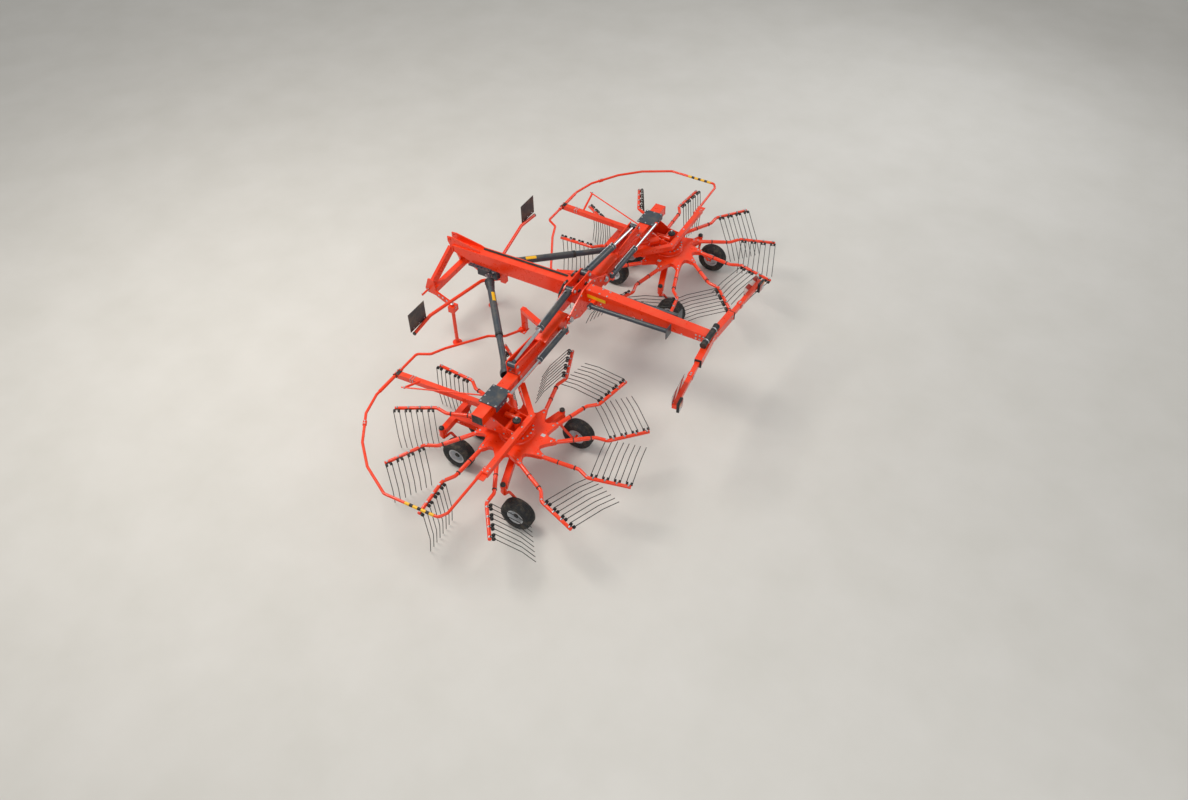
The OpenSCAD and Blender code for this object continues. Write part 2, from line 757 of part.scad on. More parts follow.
// Each arm leaves the disc through a flared socket, which gives the disc its star outline
module socket() {
    rotate([0, 0, arm_turn]) translate([0, arm_offset, disc_z - 2]) linear_extrude(56)
        polygon([[disc_radius - 240, -60], [disc_radius - 128, -74], [disc_radius - 66, -43], [disc_radius + 6, -32],
            [disc_radius + 80, -29], [disc_radius + 80, 29], [disc_radius + 20, 46], [disc_radius - 50, 110],
            [disc_radius - 160, 80]]);
}

module tine_arm() {
    root = arm_in - 0.2 * (arm_bush - arm_in);
    kinked_rod([on_arm(root), on_arm(arm_bush), on_arm(arm_knee), on_arm(arm_tip)], bearer_d);
    rod(on_arm(root), on_arm(arm_in + 0.86 * (arm_bush - arm_in)), arm_tube_d);
    socket();
}

module rotor(phase) {
    translate([0, rotor_y, 0]) difference() {
        union() {
            translate([0, 0, disc_z - 4]) cylinder(h = 60, r = disc_radius);
            translate([0, 0, disc_z]) cylinder(h = drum_z - disc_z - 14, r = drum_r);
            translate([0, 0, drum_z - 14.5]) cylinder(h = 14.5, r1 = drum_r - 1, r2 = drum_r - 26);
            translate([0, 0, disc_z - 40]) cylinder(h = 41, r = 150);
            for (i = [0:tine_arms - 1]) rotate([0, 0, phase + i * 360 / tine_arms]) tine_arm();
        }
        translate([0, 0, disc_z - 60]) cylinder(h = 200, d = column_d + 2 * seat);
    }
}

module rotor_left() {
    placed() color(PAINT) rotor(phase_left);
}

module rotor_right() {
    placed() color(PAINT) right_side() rotor(phase_right);
}

// Double tines: the cam keeps them down at the front and lifts them behind
coil_d = 44;
coil_w = 34;
coil_y = 26;
tine_spread = 70;
tine_start = 0.13;
tine_end = 0.94;
lift_max = 82;
function cam(a) = let (b = (a % 360 + 360) % 360)
    b < 80 ? 0 : b < 145 ? lift_max * (b - 80) / 65 : b < 240 ? lift_max : b < 300 ? lift_max * (300 - b) / 60 : 0;
module double_tine(lift) {
    drop = arm_plane_z - tine_clearance;
    for (s = [-1, 1]) pin_x([s * coil_y, 0, 0], coil_d, coil_w);
    pin_x([0, 0, 0], coil_d - 14, 2 * coil_y);
    rotate([lift, 0, 0])
        for (s = [-1, 1]) {
            rod([s * tine_spread / 2, coil_d / 2 - 3, 0], [s * tine_spread / 2, coil_d / 2 + 24, -drop * 0.62], tine_wire);
            rod([s * tine_spread / 2, coil_d / 2 + 24, -drop * 0.615], [s * tine_spread / 2, coil_d / 2 - 6, -drop + 1], tine_wire - 1);
        }
}

module tines(phase) {
    bearer = arm_tip - arm_knee;
    tilt = atan2(bearer[1], bearer[0]);
    translate([0, rotor_y, 0])
        for (i = [0:tine_arms - 1], j = [0:tines_per_arm - 1]) {
            angle = phase + i * 360 / tine_arms;
            spot = arm_knee + bearer * (tine_start + (tine_end - tine_start) * j / (tines_per_arm - 1));
            rotate([0, 0, angle]) translate([spot[0], spot[1], arm_plane_z]) rotate([0, 0, tilt])
                translate([0, bearer_d / 2 + coil_d / 2 + seat, 0]) double_tine(cam(angle));
        }
}

module tines_left() {
    placed() color(BLACK) tines(phase_left);
}

module tines_right() {
    placed() color(BLACK) right_side() tines(phase_right);
}

// Undercarriage: centre boss, front axle beam and two rear tubes with castor sleeves
tube_s = 80;
module sleeve(p) {
    translate([p[0], p[1], chassis_z - 50]) difference() {
        cylinder(h = 110, d = sleeve_d);
        translate([0, 0, -1]) cylinder(h = 112, d = castor_pin_d + 2 * seat);
    }
}

module undercarriage() {
    difference() {
        union() {
            translate([0, rotor_y, chassis_z - 60]) cylinder(h = 110, d = 220);
            translate([80, rotor_y - tube_s / 2, chassis_z - tube_s / 2]) cube([castor_front_inner[0] - 50, tube_s, tube_s]);
            for (p = [castor_rear_inner, castor_rear_outer])
                bar([0, rotor_y, chassis_z], [p[0], p[1], chassis_z] + unit([-p[0], rotor_y - p[1], 0]) * sleeve_d * 0.4, tube_s, tube_s);
            translate([castor_front_inner[0] - tube_s / 2, castor_front_inner[1] + 20, chassis_z - tube_s / 2])
                cube([tube_s, castor_front_outer[1] - castor_front_inner[1] - 40, tube_s]);
        }
        translate([0, rotor_y, chassis_z - 61]) cylinder(h = 120, d = column_d + 2 * seat);
        for (p = [castor_front_inner, castor_front_outer, castor_rear_inner, castor_rear_outer])
            translate([p[0], p[1], chassis_z - 80]) cylinder(h = 160, d = sleeve_d - 10);
    }
    for (p = [castor_front_inner, castor_front_outer, castor_rear_inner, castor_rear_outer]) sleeve(p);
}

module undercarriage_left() {
    placed() color(PAINT) undercarriage();
}

module undercarriage_right() {
    placed() color(PAINT) right_side() undercarriage();
}

// Drive shaft: cross, outer guard tube with its fork, and inner guard tube with a hollow cone
module drive_cross() {
    translate(drive_front) {
        cube([40, 40, 40], center = true);
        for (a = [0, 90]) rotate([0, a, 0]) cylinder(h = 2 * cross_half, d = cross_pin_d, center = true);
    }
}

module drive_cross_left() {
    placed() color(CHROME) drive_cross();
}

module drive_cross_right() {
    placed() color(CHROME) right_side() drive_cross();
}

drive_outer_len = 1050;
module drive_outer() {
    yaw = atan2(drive_dir[1], drive_dir[0]);
    difference() {
        union() {
            for (s = [-1, 1]) translate(drive_front + [0, 0, s * (cross_half - 6)]) {
                cylinder(h = 12, d = 46, center = true);
                rotate([0, 0, yaw]) translate([0, -20, -5]) cube([130, 40, 10]);
            }
            multmatrix(frame_z(drive_front, drive_dir)) {
                translate([0, 0, 82]) cylinder(h = 50, d = 124);
                translate([0, 0, 131]) cylinder(h = 110, d1 = 118, d2 = drive_outer_d + 1);
                translate([0, 0, 240]) cylinder(h = drive_outer_len - 240, d = drive_outer_d);
            }
        }
        translate(drive_front) cylinder(h = 200, d = cross_pin_d + 2 * seat, center = true);
        multmatrix(frame_z(drive_front, drive_dir)) translate([0, 0, 270])
            cylinder(h = drive_outer_len, d = drive_inner_d + 2 * seat);
    }
}

module drive_outer_left() {
    placed() color(DARK) drive_outer();
}

module drive_outer_right() {
    placed() color(DARK) right_side() drive_outer();
}

cone_back = 85;
module drive_inner() {
    r = drive_inner_d / 2;
    multmatrix(frame_z(drive_front, drive_dir)) rotate_extrude()
        polygon([[r - 7, 700], [r, 700], [r, drive_len - 240], [75, drive_len - 130], [75, drive_len - cone_back],
            [69, drive_len - cone_back], [69, drive_len - 130], [r - 7, drive_len - 230]]);
}

module drive_inner_left() {
    placed() color(DARK) drive_inner();
}

module drive_inner_right() {
    placed() color(DARK) right_side() drive_inner();
}

// Castor: upright pin with a cap, bent arm and wheel axle. The arm is on the side s.
arm_off = tyre_w / 2 + 34;
castor_arm_d = 34;
module castor(p, shift, s) {
    hub = [p[0] - trail, p[1] + shift, tyre_d / 2];
    low = [p[0], p[1], chassis_z - 58];
    translate([p[0], p[1], chassis_z - 51]) cylinder(h = 118, d = castor_pin_d);
    translate([p[0], p[1], chassis_z + 60 + seat]) cylinder(h = 22, d = 60);
    translate([p[0], p[1], chassis_z - 62]) cylinder(h = 12 - seat, d = 60);
    bent_tube([low, [p[0], p[1], tyre_d - 22], [p[0] - 20, hub[1] + s * arm_off, tyre_d - 40],
        [hub[0], hub[1] + s * arm_off, hub[2]]], castor_arm_d, 24);
    pin_y([hub[0], hub[1] + s * arm_off, hub[2]], castor_arm_d, castor_arm_d);
    pin_y([hub[0], hub[1] + s * (arm_off - 50) / 2 + s * 5, hub[2]], axle_d, arm_off + 50);
}

module castor_front_inner_left() {
    placed() color(PAINT) castor(castor_front_inner, 20, 1);
}

module castor_front_outer_left() {
    placed() color(PAINT) castor(castor_front_outer, -20, -1);
}

module castor_rear_inner_left() {
    placed() color(PAINT) castor(castor_rear_inner, -40, 1);
}

module castor_rear_outer_left() {
    placed() color(PAINT) castor(castor_rear_outer, 40, -1);
}

module castor_front_inner_right() {
    right_side() castor_front_inner_left();
}

module castor_front_outer_right() {
    right_side() castor_front_outer_left();
}

module castor_rear_inner_right() {
    right_side() castor_rear_inner_left();
}

module castor_rear_outer_right() {
    right_side() castor_rear_outer_left();
}

// Wheel: tyre section turned round the axle, with a dished rim
module wheel(p, shift) {
    r = tyre_d / 2;
    w = tyre_w / 2;
    b = rim_d / 2;
    translate([p[0] - trail, p[1] + shift, r]) rotate([90, 0, 0]) {
        color(BLACK) rotate_extrude($fn = 64)
            polygon([[b, -w * 0.72], [b + 12, -w * 0.9], [(b + r) / 2, -w], [r - 22, -w * 0.94], [r - 6, -w * 0.72],
                [r, -w * 0.4], [r, w * 0.4], [r - 6, w * 0.72], [r - 22, w * 0.94], [(b + r) / 2, w],
                [b + 12, w * 0.9], [b, w * 0.72]]);
        color(RIM) rotate_extrude($fn = 64)
            polygon([[axle_d / 2 + seat, -40], [36, -40], [36, -16], [b - 14, -22], [b - 10, -w * 0.8], [b + 8, -w * 0.8],
                [b + 1, -w * 0.6], [b + 1, w * 0.6], [b + 8, w * 0.8], [b - 10, w * 0.8], [b - 14, 0], [36, 4], [36, 40],
                [axle_d / 2 + seat, 40]]);
    }
}

module wheel_front_inner_left() {
    placed() wheel(castor_front_inner, 20);
}

module wheel_front_outer_left() {
    placed() wheel(castor_front_outer, -20);
}

module wheel_rear_inner_left() {
    placed() wheel(castor_rear_inner, -40);
}

module wheel_rear_outer_left() {
    placed() wheel(castor_rear_outer, 40);
}

module wheel_front_inner_right() {
    right_side() wheel_front_inner_left();
}

module wheel_front_outer_right() {
    right_side() wheel_front_outer_left();
}

module wheel_rear_inner_right() {
    right_side() wheel_rear_inner_left();
}

module wheel_rear_outer_right() {
    right_side() wheel_rear_outer_left();
}

headstock();
front_beam();
centre_tower();
rear_beam();
light_bar();
lamps();
marker_boards();
document_tube();
board_tubes();
gearbox();
transport_hooks();
beam_hoses();
front_stand_left();
front_stand_right();
rear_stand_left();
rear_stand_right();
boom_left();
boom_right();
width_barrel_left();
width_barrel_right();
lift_barrel_left();
lift_barrel_right();
lift_rod_left();
lift_rod_right();
slide_left();
slide_right();
width_rod_left();
width_rod_right();
cover_left();
cover_right();
guard_left();
guard_right();
rotor_left();
rotor_right();
tines_left();
tines_right();
undercarriage_left();
undercarriage_right();
drive_cross_left();
drive_cross_right();
drive_outer_left();
drive_outer_right();
drive_inner_left();
drive_inner_right();
castor_front_inner_left();
castor_front_outer_left();
castor_rear_inner_left();
castor_rear_outer_left();
castor_front_inner_right();
castor_front_outer_right();
castor_rear_inner_right();
castor_rear_outer_right();
wheel_front_inner_left();
wheel_front_outer_left();
wheel_rear_inner_left();
wheel_rear_outer_left();
wheel_front_inner_right();
wheel_front_outer_right();
wheel_rear_inner_right();
wheel_rear_outer_right();
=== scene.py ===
import bpy, bmesh, math
from mathutils import Matrix, Vector


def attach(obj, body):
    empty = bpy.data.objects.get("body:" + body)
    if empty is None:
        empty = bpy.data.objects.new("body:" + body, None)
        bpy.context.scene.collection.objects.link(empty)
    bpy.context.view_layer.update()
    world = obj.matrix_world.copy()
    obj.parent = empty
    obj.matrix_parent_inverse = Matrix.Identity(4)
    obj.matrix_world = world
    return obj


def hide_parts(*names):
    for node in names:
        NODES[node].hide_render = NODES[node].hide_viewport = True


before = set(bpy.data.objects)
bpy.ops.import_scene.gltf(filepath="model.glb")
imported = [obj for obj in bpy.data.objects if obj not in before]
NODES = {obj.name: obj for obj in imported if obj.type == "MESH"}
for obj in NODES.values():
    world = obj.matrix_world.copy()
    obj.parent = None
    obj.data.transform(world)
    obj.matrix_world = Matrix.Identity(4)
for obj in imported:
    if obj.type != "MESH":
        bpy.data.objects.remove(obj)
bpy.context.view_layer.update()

# The machine's dimensions are in millimetres, in its own axes: X forward from the rotor axes, Y to
# the left and Z up from the floor. AXIS_X is the rotor axes' X in the shared frame.
AXIS_X = -377.84
ROTOR_Y = 2024.0
ARM_Z = 666.0
DISC_Z = ARM_Z - 26
DRUM_Z = ARM_Z + 54
HOOP_Z = ARM_Z + 190
CHASSIS_Z = ARM_Z - 176
SLIDE_Z = ARM_Z + 394
BEAM_TOP = 1375.0
SIDES = {"left": 1, "right": -1}

# Pivots and other places that fittings sit round, on the left side
LIFT_FOOT = Vector((312, 191, 1396))
LIFT_EYE = Vector((312, 1563, 1250))
FOLD_Y, FOLD_Z = 458, 1176
WIDTH_FOOT = Vector((140, 608, 1136))
DRIVE_FRONT = Vector((1570, 160, 1120))
DRIVE_REAR = Vector((450, 1500, 880))
GEAR_CAP = Vector((-38, ROTOR_Y + 33, 924))
LINK_X, LINK_Z = 2430, 740
STAND_X, STAND_Y = 2006, 455
SLIDE_X = 293
CRANK_X = 1713
HOSE_X, HOSE_Z = 429.3, 1405.3
# The document tube, and the light bar with its sweep to the back in degrees
TUBE_X, TUBE_Z = -1553, 1333.3
BAR_X, BAR_Z, BAR_SWEEP = -1541, 1240, 5


# Colour and shader nodes
def linear(hex_code):
    """An sRGB hex colour as a linear one."""
    out = []
    for i in (1, 3, 5):
        c = int(hex_code[i:i + 2], 16) / 255
        out.append(c / 12.92 if c <= 0.04045 else ((c + 0.055) / 1.055) ** 2.4)
    return (*out, 1.0)


def toned(colour, factor):
    """The colour made darker or lighter by a factor."""
    return tuple(min(1.0, c * factor) for c in colour[:3]) + (1.0,)


class Net:
    """A material's node tree, with one call that adds a node, sets it and wires it."""

    def __init__(self, name):
        self.mat = bpy.data.materials.new(name)
        self.mat.use_nodes = True
        self.tree = self.mat.node_tree
        self.bsdf = self.tree.nodes["Principled BSDF"]
        self.coord = self.add("ShaderNodeTexCoord").outputs["Object"]
        self.normal = self.add("ShaderNodeNewGeometry").outputs["Normal"]

    def add(self, kind, **kw):
        n = self.tree.nodes.new(kind)
        for k, v in kw.items():
            if k.startswith("i_"):
                key = k[2:]
                sock = n.inputs[int(key)] if key.isdigit() else n.inputs[key.replace("_", " ")]
                if isinstance(v, bpy.types.NodeSocket):
                    self.tree.links.new(v, sock)
                else:
                    sock.default_value = v
            else:
                setattr(n, k, v)
        return n

    def drive(self, **sockets):
        """Sockets of the shader: a wired one for what varies, a plain value for what doesn't."""
        for k, v in sockets.items():
            sock = self.bsdf.inputs[k.replace("_", " ")]
            if isinstance(v, bpy.types.NodeSocket):
                self.tree.links.new(v, sock)
            else:
                sock.default_value = v

    def noise(self, size_mm, detail=3.0, rough=0.55, vector=None):
        """Noise whose features are about size_mm across."""
        return self.add("ShaderNodeTexNoise", i_Vector=vector or self.coord, i_Scale=1000.0 / size_mm,
                        i_Detail=detail, i_Roughness=rough).outputs["Fac"]

    def ramp(self, fac, lo, hi, a=0.0, b=1.0):
        """Maps lo to a and hi to b, and holds the ends."""
        return self.add("ShaderNodeMapRange", i_0=fac, i_1=lo, i_2=hi, i_3=a, i_4=b).outputs[0]

    def math(self, op, a, b=0.0):
        return self.add("ShaderNodeMath", operation=op, i_0=a, i_1=b).outputs[0]

    def mix(self, fac, a, b):
        return self.add("ShaderNodeMix", data_type="RGBA", i_0=fac, i_6=a, i_7=b).outputs[2]

    def facing(self, axis):
        """How much the surface looks along an axis: 1 along it, -1 against it."""
        return self.add("ShaderNodeSeparateXYZ", i_0=self.normal).outputs[axis]

    def rounded(self, edge_mm):
        """The surface's normal with its edges rounded by edge_mm, as on cut steel."""
        return self.add("ShaderNodeBevel", samples=6, i_Radius=edge_mm / 1000.0).outputs[0]

    def edges(self, soft_normal):
        """1 on sharp outer edges, where paint wears through first."""
        dot = self.add("ShaderNodeVectorMath", operation="DOT_PRODUCT", i_0=soft_normal, i_1=self.normal)
        return self.ramp(dot.outputs["Value"], 0.985, 0.86)

    def bump(self, height, strength, distance_mm, soft_normal=None):
        """Fine relief on the surface, over the rounded normal where one is given."""
        b = self.add("ShaderNodeBump", i_Height=height, i_Strength=strength,
                     i_Distance=distance_mm / 1000.0)
        if soft_normal:
            self.tree.links.new(soft_normal, b.inputs["Normal"])
        self.tree.links.new(b.outputs[0], self.bsdf.inputs["Normal"])


DUST = linear("#b59d74")


def enamel(name, hex_code, rough=0.3, coat=0.35, dust=0.25, worn="#7c2012", edge_mm=2.5):
    """Sprayed machine enamel: even colour, slight orange peel, hay dust on top and worn edges."""
    n = Net(name)
    base = linear(hex_code)
    soft = n.rounded(edge_mm)
    colour = n.mix(n.ramp(n.noise(420, 4.0), 0.35, 0.7), base, toned(base, 0.88))
    wear = n.math("MULTIPLY", n.edges(soft), n.ramp(n.noise(26, 5.0, 0.65), 0.52, 0.66, 0.0, 0.7))
    colour = n.mix(wear, colour, linear(worn))
    up = n.ramp(n.facing(2), 0.35, 0.95)
    grime = n.math("MULTIPLY", up, n.ramp(n.noise(170, 7.0, 0.72), 0.45, 0.8, 0.0, dust))
    colour = n.mix(grime, colour, DUST)
    chaff = n.math("MULTIPLY", up, n.ramp(n.noise(9, 2.0), 0.69, 0.74, 0.0, 0.6 * dust))
    colour = n.mix(chaff, colour, linear("#8f7b58"))
    sheen = n.ramp(n.noise(60, 3.0), 0.3, 0.7, rough - 0.05, rough + 0.07)
    n.drive(Base_Color=colour, Roughness=n.math("ADD", sheen, n.math("MULTIPLY", grime, 0.6)),
            Coat_Weight=coat, Coat_Roughness=0.1)
    n.bump(n.noise(3.0, 2.0), 0.05, 0.2, soft)
    return n.mat


def bright_metal(name, hex_code, rough, brushed_mm=1.5):
    """Plated or ground steel: a metal with faint drawn lines and an oily film."""
    n = Net(name)
    base = linear(hex_code)
    stretch = n.add("ShaderNodeMapping", i_Vector=n.coord, i_Scale=(1.0, 1.0, 0.12)).outputs[0]
    film = n.noise(90, 4.0)
    n.drive(Base_Color=n.mix(n.ramp(film, 0.4, 0.75), base, toned(base, 0.72)), Metallic=1.0,
            Roughness=n.ramp(film, 0.3, 0.75, rough, rough + 0.16))
    n.bump(n.noise(brushed_mm, 3.0, 0.6, stretch), 0.08, 0.08, n.rounded(1.0))
    return n.mat


def dull(name, hex_code, rough=0.7, grain_mm=1.8, dust=0.35, bump_mm=0.3, edge_mm=1.5):
    """Rubber, moulded plastic and black steel: soft highlights, fine grain, dust in the pores."""
    n = Net(name)
    base = linear(hex_code)
    colour = n.mix(n.ramp(n.noise(35, 4.0), 0.35, 0.7), base, toned(base, 1.8))
    grime = n.ramp(n.noise(80, 6.0, 0.7), 0.48, 0.82, 0.0, dust)
    colour = n.mix(grime, colour, linear("#8d8069"))
    sheen = n.ramp(n.noise(22, 3.0), 0.3, 0.7, rough - 0.08, rough + 0.1)
    n.drive(Base_Color=colour, Roughness=sheen)
    n.bump(n.noise(grain_mm, 3.0), 0.25, bump_mm, n.rounded(edge_mm))
    return n.mat


STRIPE_MM = 70.0


def striped_board(name):
    """Sheet steel marker boards: red and white film in slanting bands outside, dark enamel behind."""
    n = Net(name)
    split = n.add("ShaderNodeSeparateXYZ", i_0=n.coord)
    along = n.math("ADD", n.math("ABSOLUTE", split.outputs[1]), split.outputs[2])
    band = n.math("FRACT", n.math("MULTIPLY", along, 1000.0 * math.sqrt(0.5) / (2 * STRIPE_MM)))
    film = n.mix(n.ramp(band, 0.497, 0.503), linear("#e6e6e2"), linear("#a81f1a"))
    outward = n.math("MULTIPLY", n.math("SIGN", split.outputs[0]), n.facing(0))
    grime = n.ramp(n.noise(120, 6.0, 0.7), 0.45, 0.8, 0.0, 0.28)
    front = n.ramp(outward, 0.45, 0.55)
    colour = n.mix(front, linear("#2c3237"), film)
    n.drive(Base_Color=n.mix(grime, colour, DUST), Roughness=n.ramp(n.noise(40), 0.3, 0.7, 0.3, 0.45))
    n.bump(n.noise(4.0, 2.0), 0.05, 0.2)
    return n.mat


RED = enamel("orange_red_enamel", "#f63a07", coat=0.28, dust=0.16)
DARK = enamel("blue_grey_enamel", "#343f4a", rough=0.38, coat=0.15, dust=0.28, worn="#6d7378")
YELLOW = enamel("yellow_film", "#f4bd12", rough=0.4, coat=0.1, dust=0.15, worn="#8f7420", edge_mm=0.5)
RIM = enamel("light_grey_rim_enamel", "#c6cacf", rough=0.32, coat=0.2, dust=0.35, worn="#77797b")
LENS = enamel("red_lamp_lens", "#a3140e", rough=0.12, coat=0.7, dust=0.1, edge_mm=2.0)
AMBER = enamel("amber_lamp_lens", "#d9710b", rough=0.12, coat=0.7, dust=0.1, edge_mm=2.0)
CHROME = bright_metal("hard_chrome", "#d9dde2", 0.1)
ZINC = bright_metal("zinc_plate", "#cdd0d4", 0.3)
BLACK = dull("black_moulding", "#15181b", 0.5)
SPRING = dull("black_spring_steel", "#121417", 0.38, 3.0, 0.16, 0.12, 0.5)
RUBBER = dull("tyre_rubber", "#1a1c1f", 0.76, 2.4, 0.45, 0.4)
HOSE = dull("hose_rubber", "#131416", 0.58, 1.5, 0.22, 0.15)
BOARD = striped_board("red_white_board_film")

BY_NAME = (
    (("wheel",), RUBBER), (("tines",), SPRING), (("beam_hoses",), HOSE), (("marker_boards",), BOARD),
    (("lamps", "document_tube", "transport_hooks"), BLACK), (("width_rod", "lift_rod"), CHROME),
    (("drive_cross",), ZINC),
    (("gearbox", "width_barrel", "lift_barrel", "cover", "rear_stand", "drive_"), DARK),
    (("",), RED),
)
for node, obj in NODES.items():
    obj.data.materials.clear()
    obj.data.materials.append(next(mat for starts, mat in BY_NAME if node.startswith(starts)))


# Shapes: paths, frames and one class that gathers faces
def vec(*p):
    return Vector(p)


def circle(centre, radius, count, across=(1, 0, 0), up=(0, 1, 0)):
    """Points round a centre, with the first one once more at the end."""
    turns = [2 * math.pi * k / count for k in range(count + 1)]
    u, v = Vector(across), Vector(up)
    return [Vector(centre) + radius * (math.cos(a) * u + math.sin(a) * v) for a in turns]


def rounded_path(points, radius, steps=6):
    """The path with an arc at each inner corner, as a tube bender leaves it."""
    pts = [Vector(p) for p in points]
    out = [pts[0]]
    for a, b, c in zip(pts, pts[1:], pts[2:]):
        u, v = (b - a).normalized(), (c - b).normalized()
        turn = u.angle(v)
        if turn < 0.01:
            out.append(b)
            continue
        back = min(radius * math.tan(turn / 2), 0.45 * (b - a).length, 0.45 * (c - b).length)
        r = back / math.tan(turn / 2)
        w = (v - u.dot(v) * u).normalized()
        for k in range(steps + 1):
            t = turn * k / steps
            out.append(b - back * u + r * w + r * (math.sin(t) * u - math.cos(t) * w))
    return out + [pts[-1]]


def aimed(place, direction, across=None):
    """The matrix that puts a shape's own Z along direction at place."""
    z = Vector(direction).normalized()
    x = Vector(across) if across else (vec(0, 0, 1) if abs(z.z) < 0.9 else vec(0, 1, 0)).cross(z)
    x = (x - x.dot(z) * z).normalized()
    m = Matrix((x, z.cross(x), z)).transposed().to_4x4()
    m.translation = Vector(place)
    return m


SHARP_FROM = math.radians(38)


class Shape:
    """Gathers faces in millimetres for one side of the machine, and becomes one object."""

    def __init__(self, material, side=1):
        self.bm = bmesh.new()
        self.materials = [material]
        self.current = 0
        self.side = side
        self.at = Matrix.Identity(4)

    def use(self, material):
        if material not in self.materials:
            self.materials.append(material)
        self.current = self.materials.index(material)
        return self

    def ring(self, points):
        """New vertices at the points, seen from the place that the shape is drawn at."""
        return [self.bm.verts.new(self.at @ Vector(p)) for p in points]

    def face(self, verts):
        f = self.bm.faces.new(verts)
        f.material_index = self.current
        return f

    def loft(self, rings, closed=False, ends=True):
        """A skin from ring to ring, with lids or closed on itself. A ring of one point makes a tip."""
        pairs = list(zip(rings, rings[1:])) + ([(rings[-1], rings[0])] if closed else [])
        for a, b in pairs:
            n = max(len(a), len(b))
            for k in range(n):
                corners = [a[k % len(a)], a[(k + 1) % len(a)], b[(k + 1) % len(b)], b[k % len(b)]]
                kept = [v for i, v in enumerate(corners) if v not in corners[:i]]
                if len(kept) > 2:
                    self.face(kept)
        if ends and not closed:
            for r in (rings[0], rings[-1]):
                if len(r) > 2:
                    self.face(r)

    def tube(self, path, radius, sides=12, ends=True):
        """Round bar or tube along a path. The radius is one number, or one for each point."""
        pts = [Vector(p) for p in path]
        last = len(pts) - 1
        radii = radius if isinstance(radius, (list, tuple)) else [radius] * len(pts)
        ways = [(pts[min(i + 1, last)] - pts[max(i - 1, 0)]).normalized() for i in range(last + 1)]
        up = ways[0].orthogonal().normalized()
        rings = []
        for p, r, way in zip(pts, radii, ways):
            up = (up - up.dot(way) * way).normalized()
            other = way.cross(up)
            turns = [2 * math.pi * k / sides for k in range(sides)]
            spots = [p + r * (math.cos(a) * up + math.sin(a) * other) for a in turns]
            rings.append(self.ring(spots))
        self.loft(rings, ends=ends)

    def lathe(self, profile, place=None, sides=32, closed=False):
        """Turns (radius, height) points round Z. A closed profile makes a ring."""
        place = place or Matrix.Identity(4)
        rings = []
        turns = [2 * math.pi * k / sides for k in range(sides)]
        for r, z in profile:
            spots = [vec(r * math.cos(a), r * math.sin(a), z) for a in turns]
            if r < 0.01:
                spots = [vec(0, 0, z)]
            rings.append(self.ring([place @ p for p in spots]))
        self.loft(rings, closed)

    def prism(self, outline, low, high, place=None, bevel=0.0, steps=2):
        """A flat outline raised along Z, with rounded rims."""
        place = place or Matrix.Identity(4)
        a = self.ring([place @ vec(x, y, low) for x, y in outline])
        b = self.ring([place @ vec(x, y, high) for x, y in outline])
        self.loft([a, b])
        if bevel:
            rim = []
            for r in (a, b):
                rim += {e for v in r for e in v.link_edges if e.other_vert(v) in r}
            bmesh.ops.bevel(self.bm, geom=rim, offset=bevel, segments=steps, affect="EDGES",
                            profile=0.5, material=self.current, clamp_overlap=True)

    def block(self, centre, size, bevel=2.0, place=None):
        """A box with rounded rims, drawn round its middle."""
        x, y = size[0] / 2, size[1] / 2
        spot = (place or Matrix.Identity(4)) @ Matrix.Translation(Vector(centre))
        self.prism([(-x, -y), (x, -y), (x, y), (-x, y)], -size[2] / 2, size[2] / 2, spot, bevel)

    def bolt(self, place, direction, size=16.0, washer=True):
        """Hexagon head on a washer. The size is the width across the head's corners."""
        spot = aimed(place, direction)
        r, washer_r, washer_top = size / 2, size * 0.675, 1.8
        corner, top = size * 0.36, size * 0.45
        if washer:
            self.lathe([(0, 0), (washer_r, 0), (washer_r, washer_top), (0, washer_top)], spot, 14)
        self.lathe([(0, washer_top), (r, washer_top), (r, corner), (r * 0.82, top), (0, top)], spot, 6)

    def weld(self, path, radius=3.2, step=7.0):
        """A bead of weld: a small ripple along an edge."""
        pts = [Vector(p) for p in path]
        spots, radii = [], []
        for a, b in zip(pts, pts[1:]):
            n = max(2, int((b - a).length / step))
            for k in range(n):
                spots.append(a.lerp(b, k / n))
                radii.append(radius * (1.0 if k % 2 else 0.82))
        self.tube(spots + [pts[-1]], radii + [radius * 0.6], 6)

    def done(self, name, body, slot, *nodes):
        bm = self.bm
        scale = Matrix.Diagonal((0.001, 0.001 * self.side, 0.001, 1))
        shift = Matrix.Translation((AXIS_X / 1000, 0, 0)) @ scale
        bmesh.ops.transform(bm, matrix=shift, verts=bm.verts)
        bmesh.ops.recalc_face_normals(bm, faces=bm.faces)
        mesh = bpy.data.meshes.new(name)
        bm.to_mesh(mesh)
        bm.free()
        for mat in self.materials:
            mesh.materials.append(mat)
        mesh.shade_smooth()
        mesh.set_sharp_from_angle(angle=SHARP_FROM)
        piece = bpy.data.objects.new(name, mesh)
        bpy.context.collection.objects.link(piece)
        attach(piece, body)
        if nodes:
            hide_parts(*nodes)
        return piece


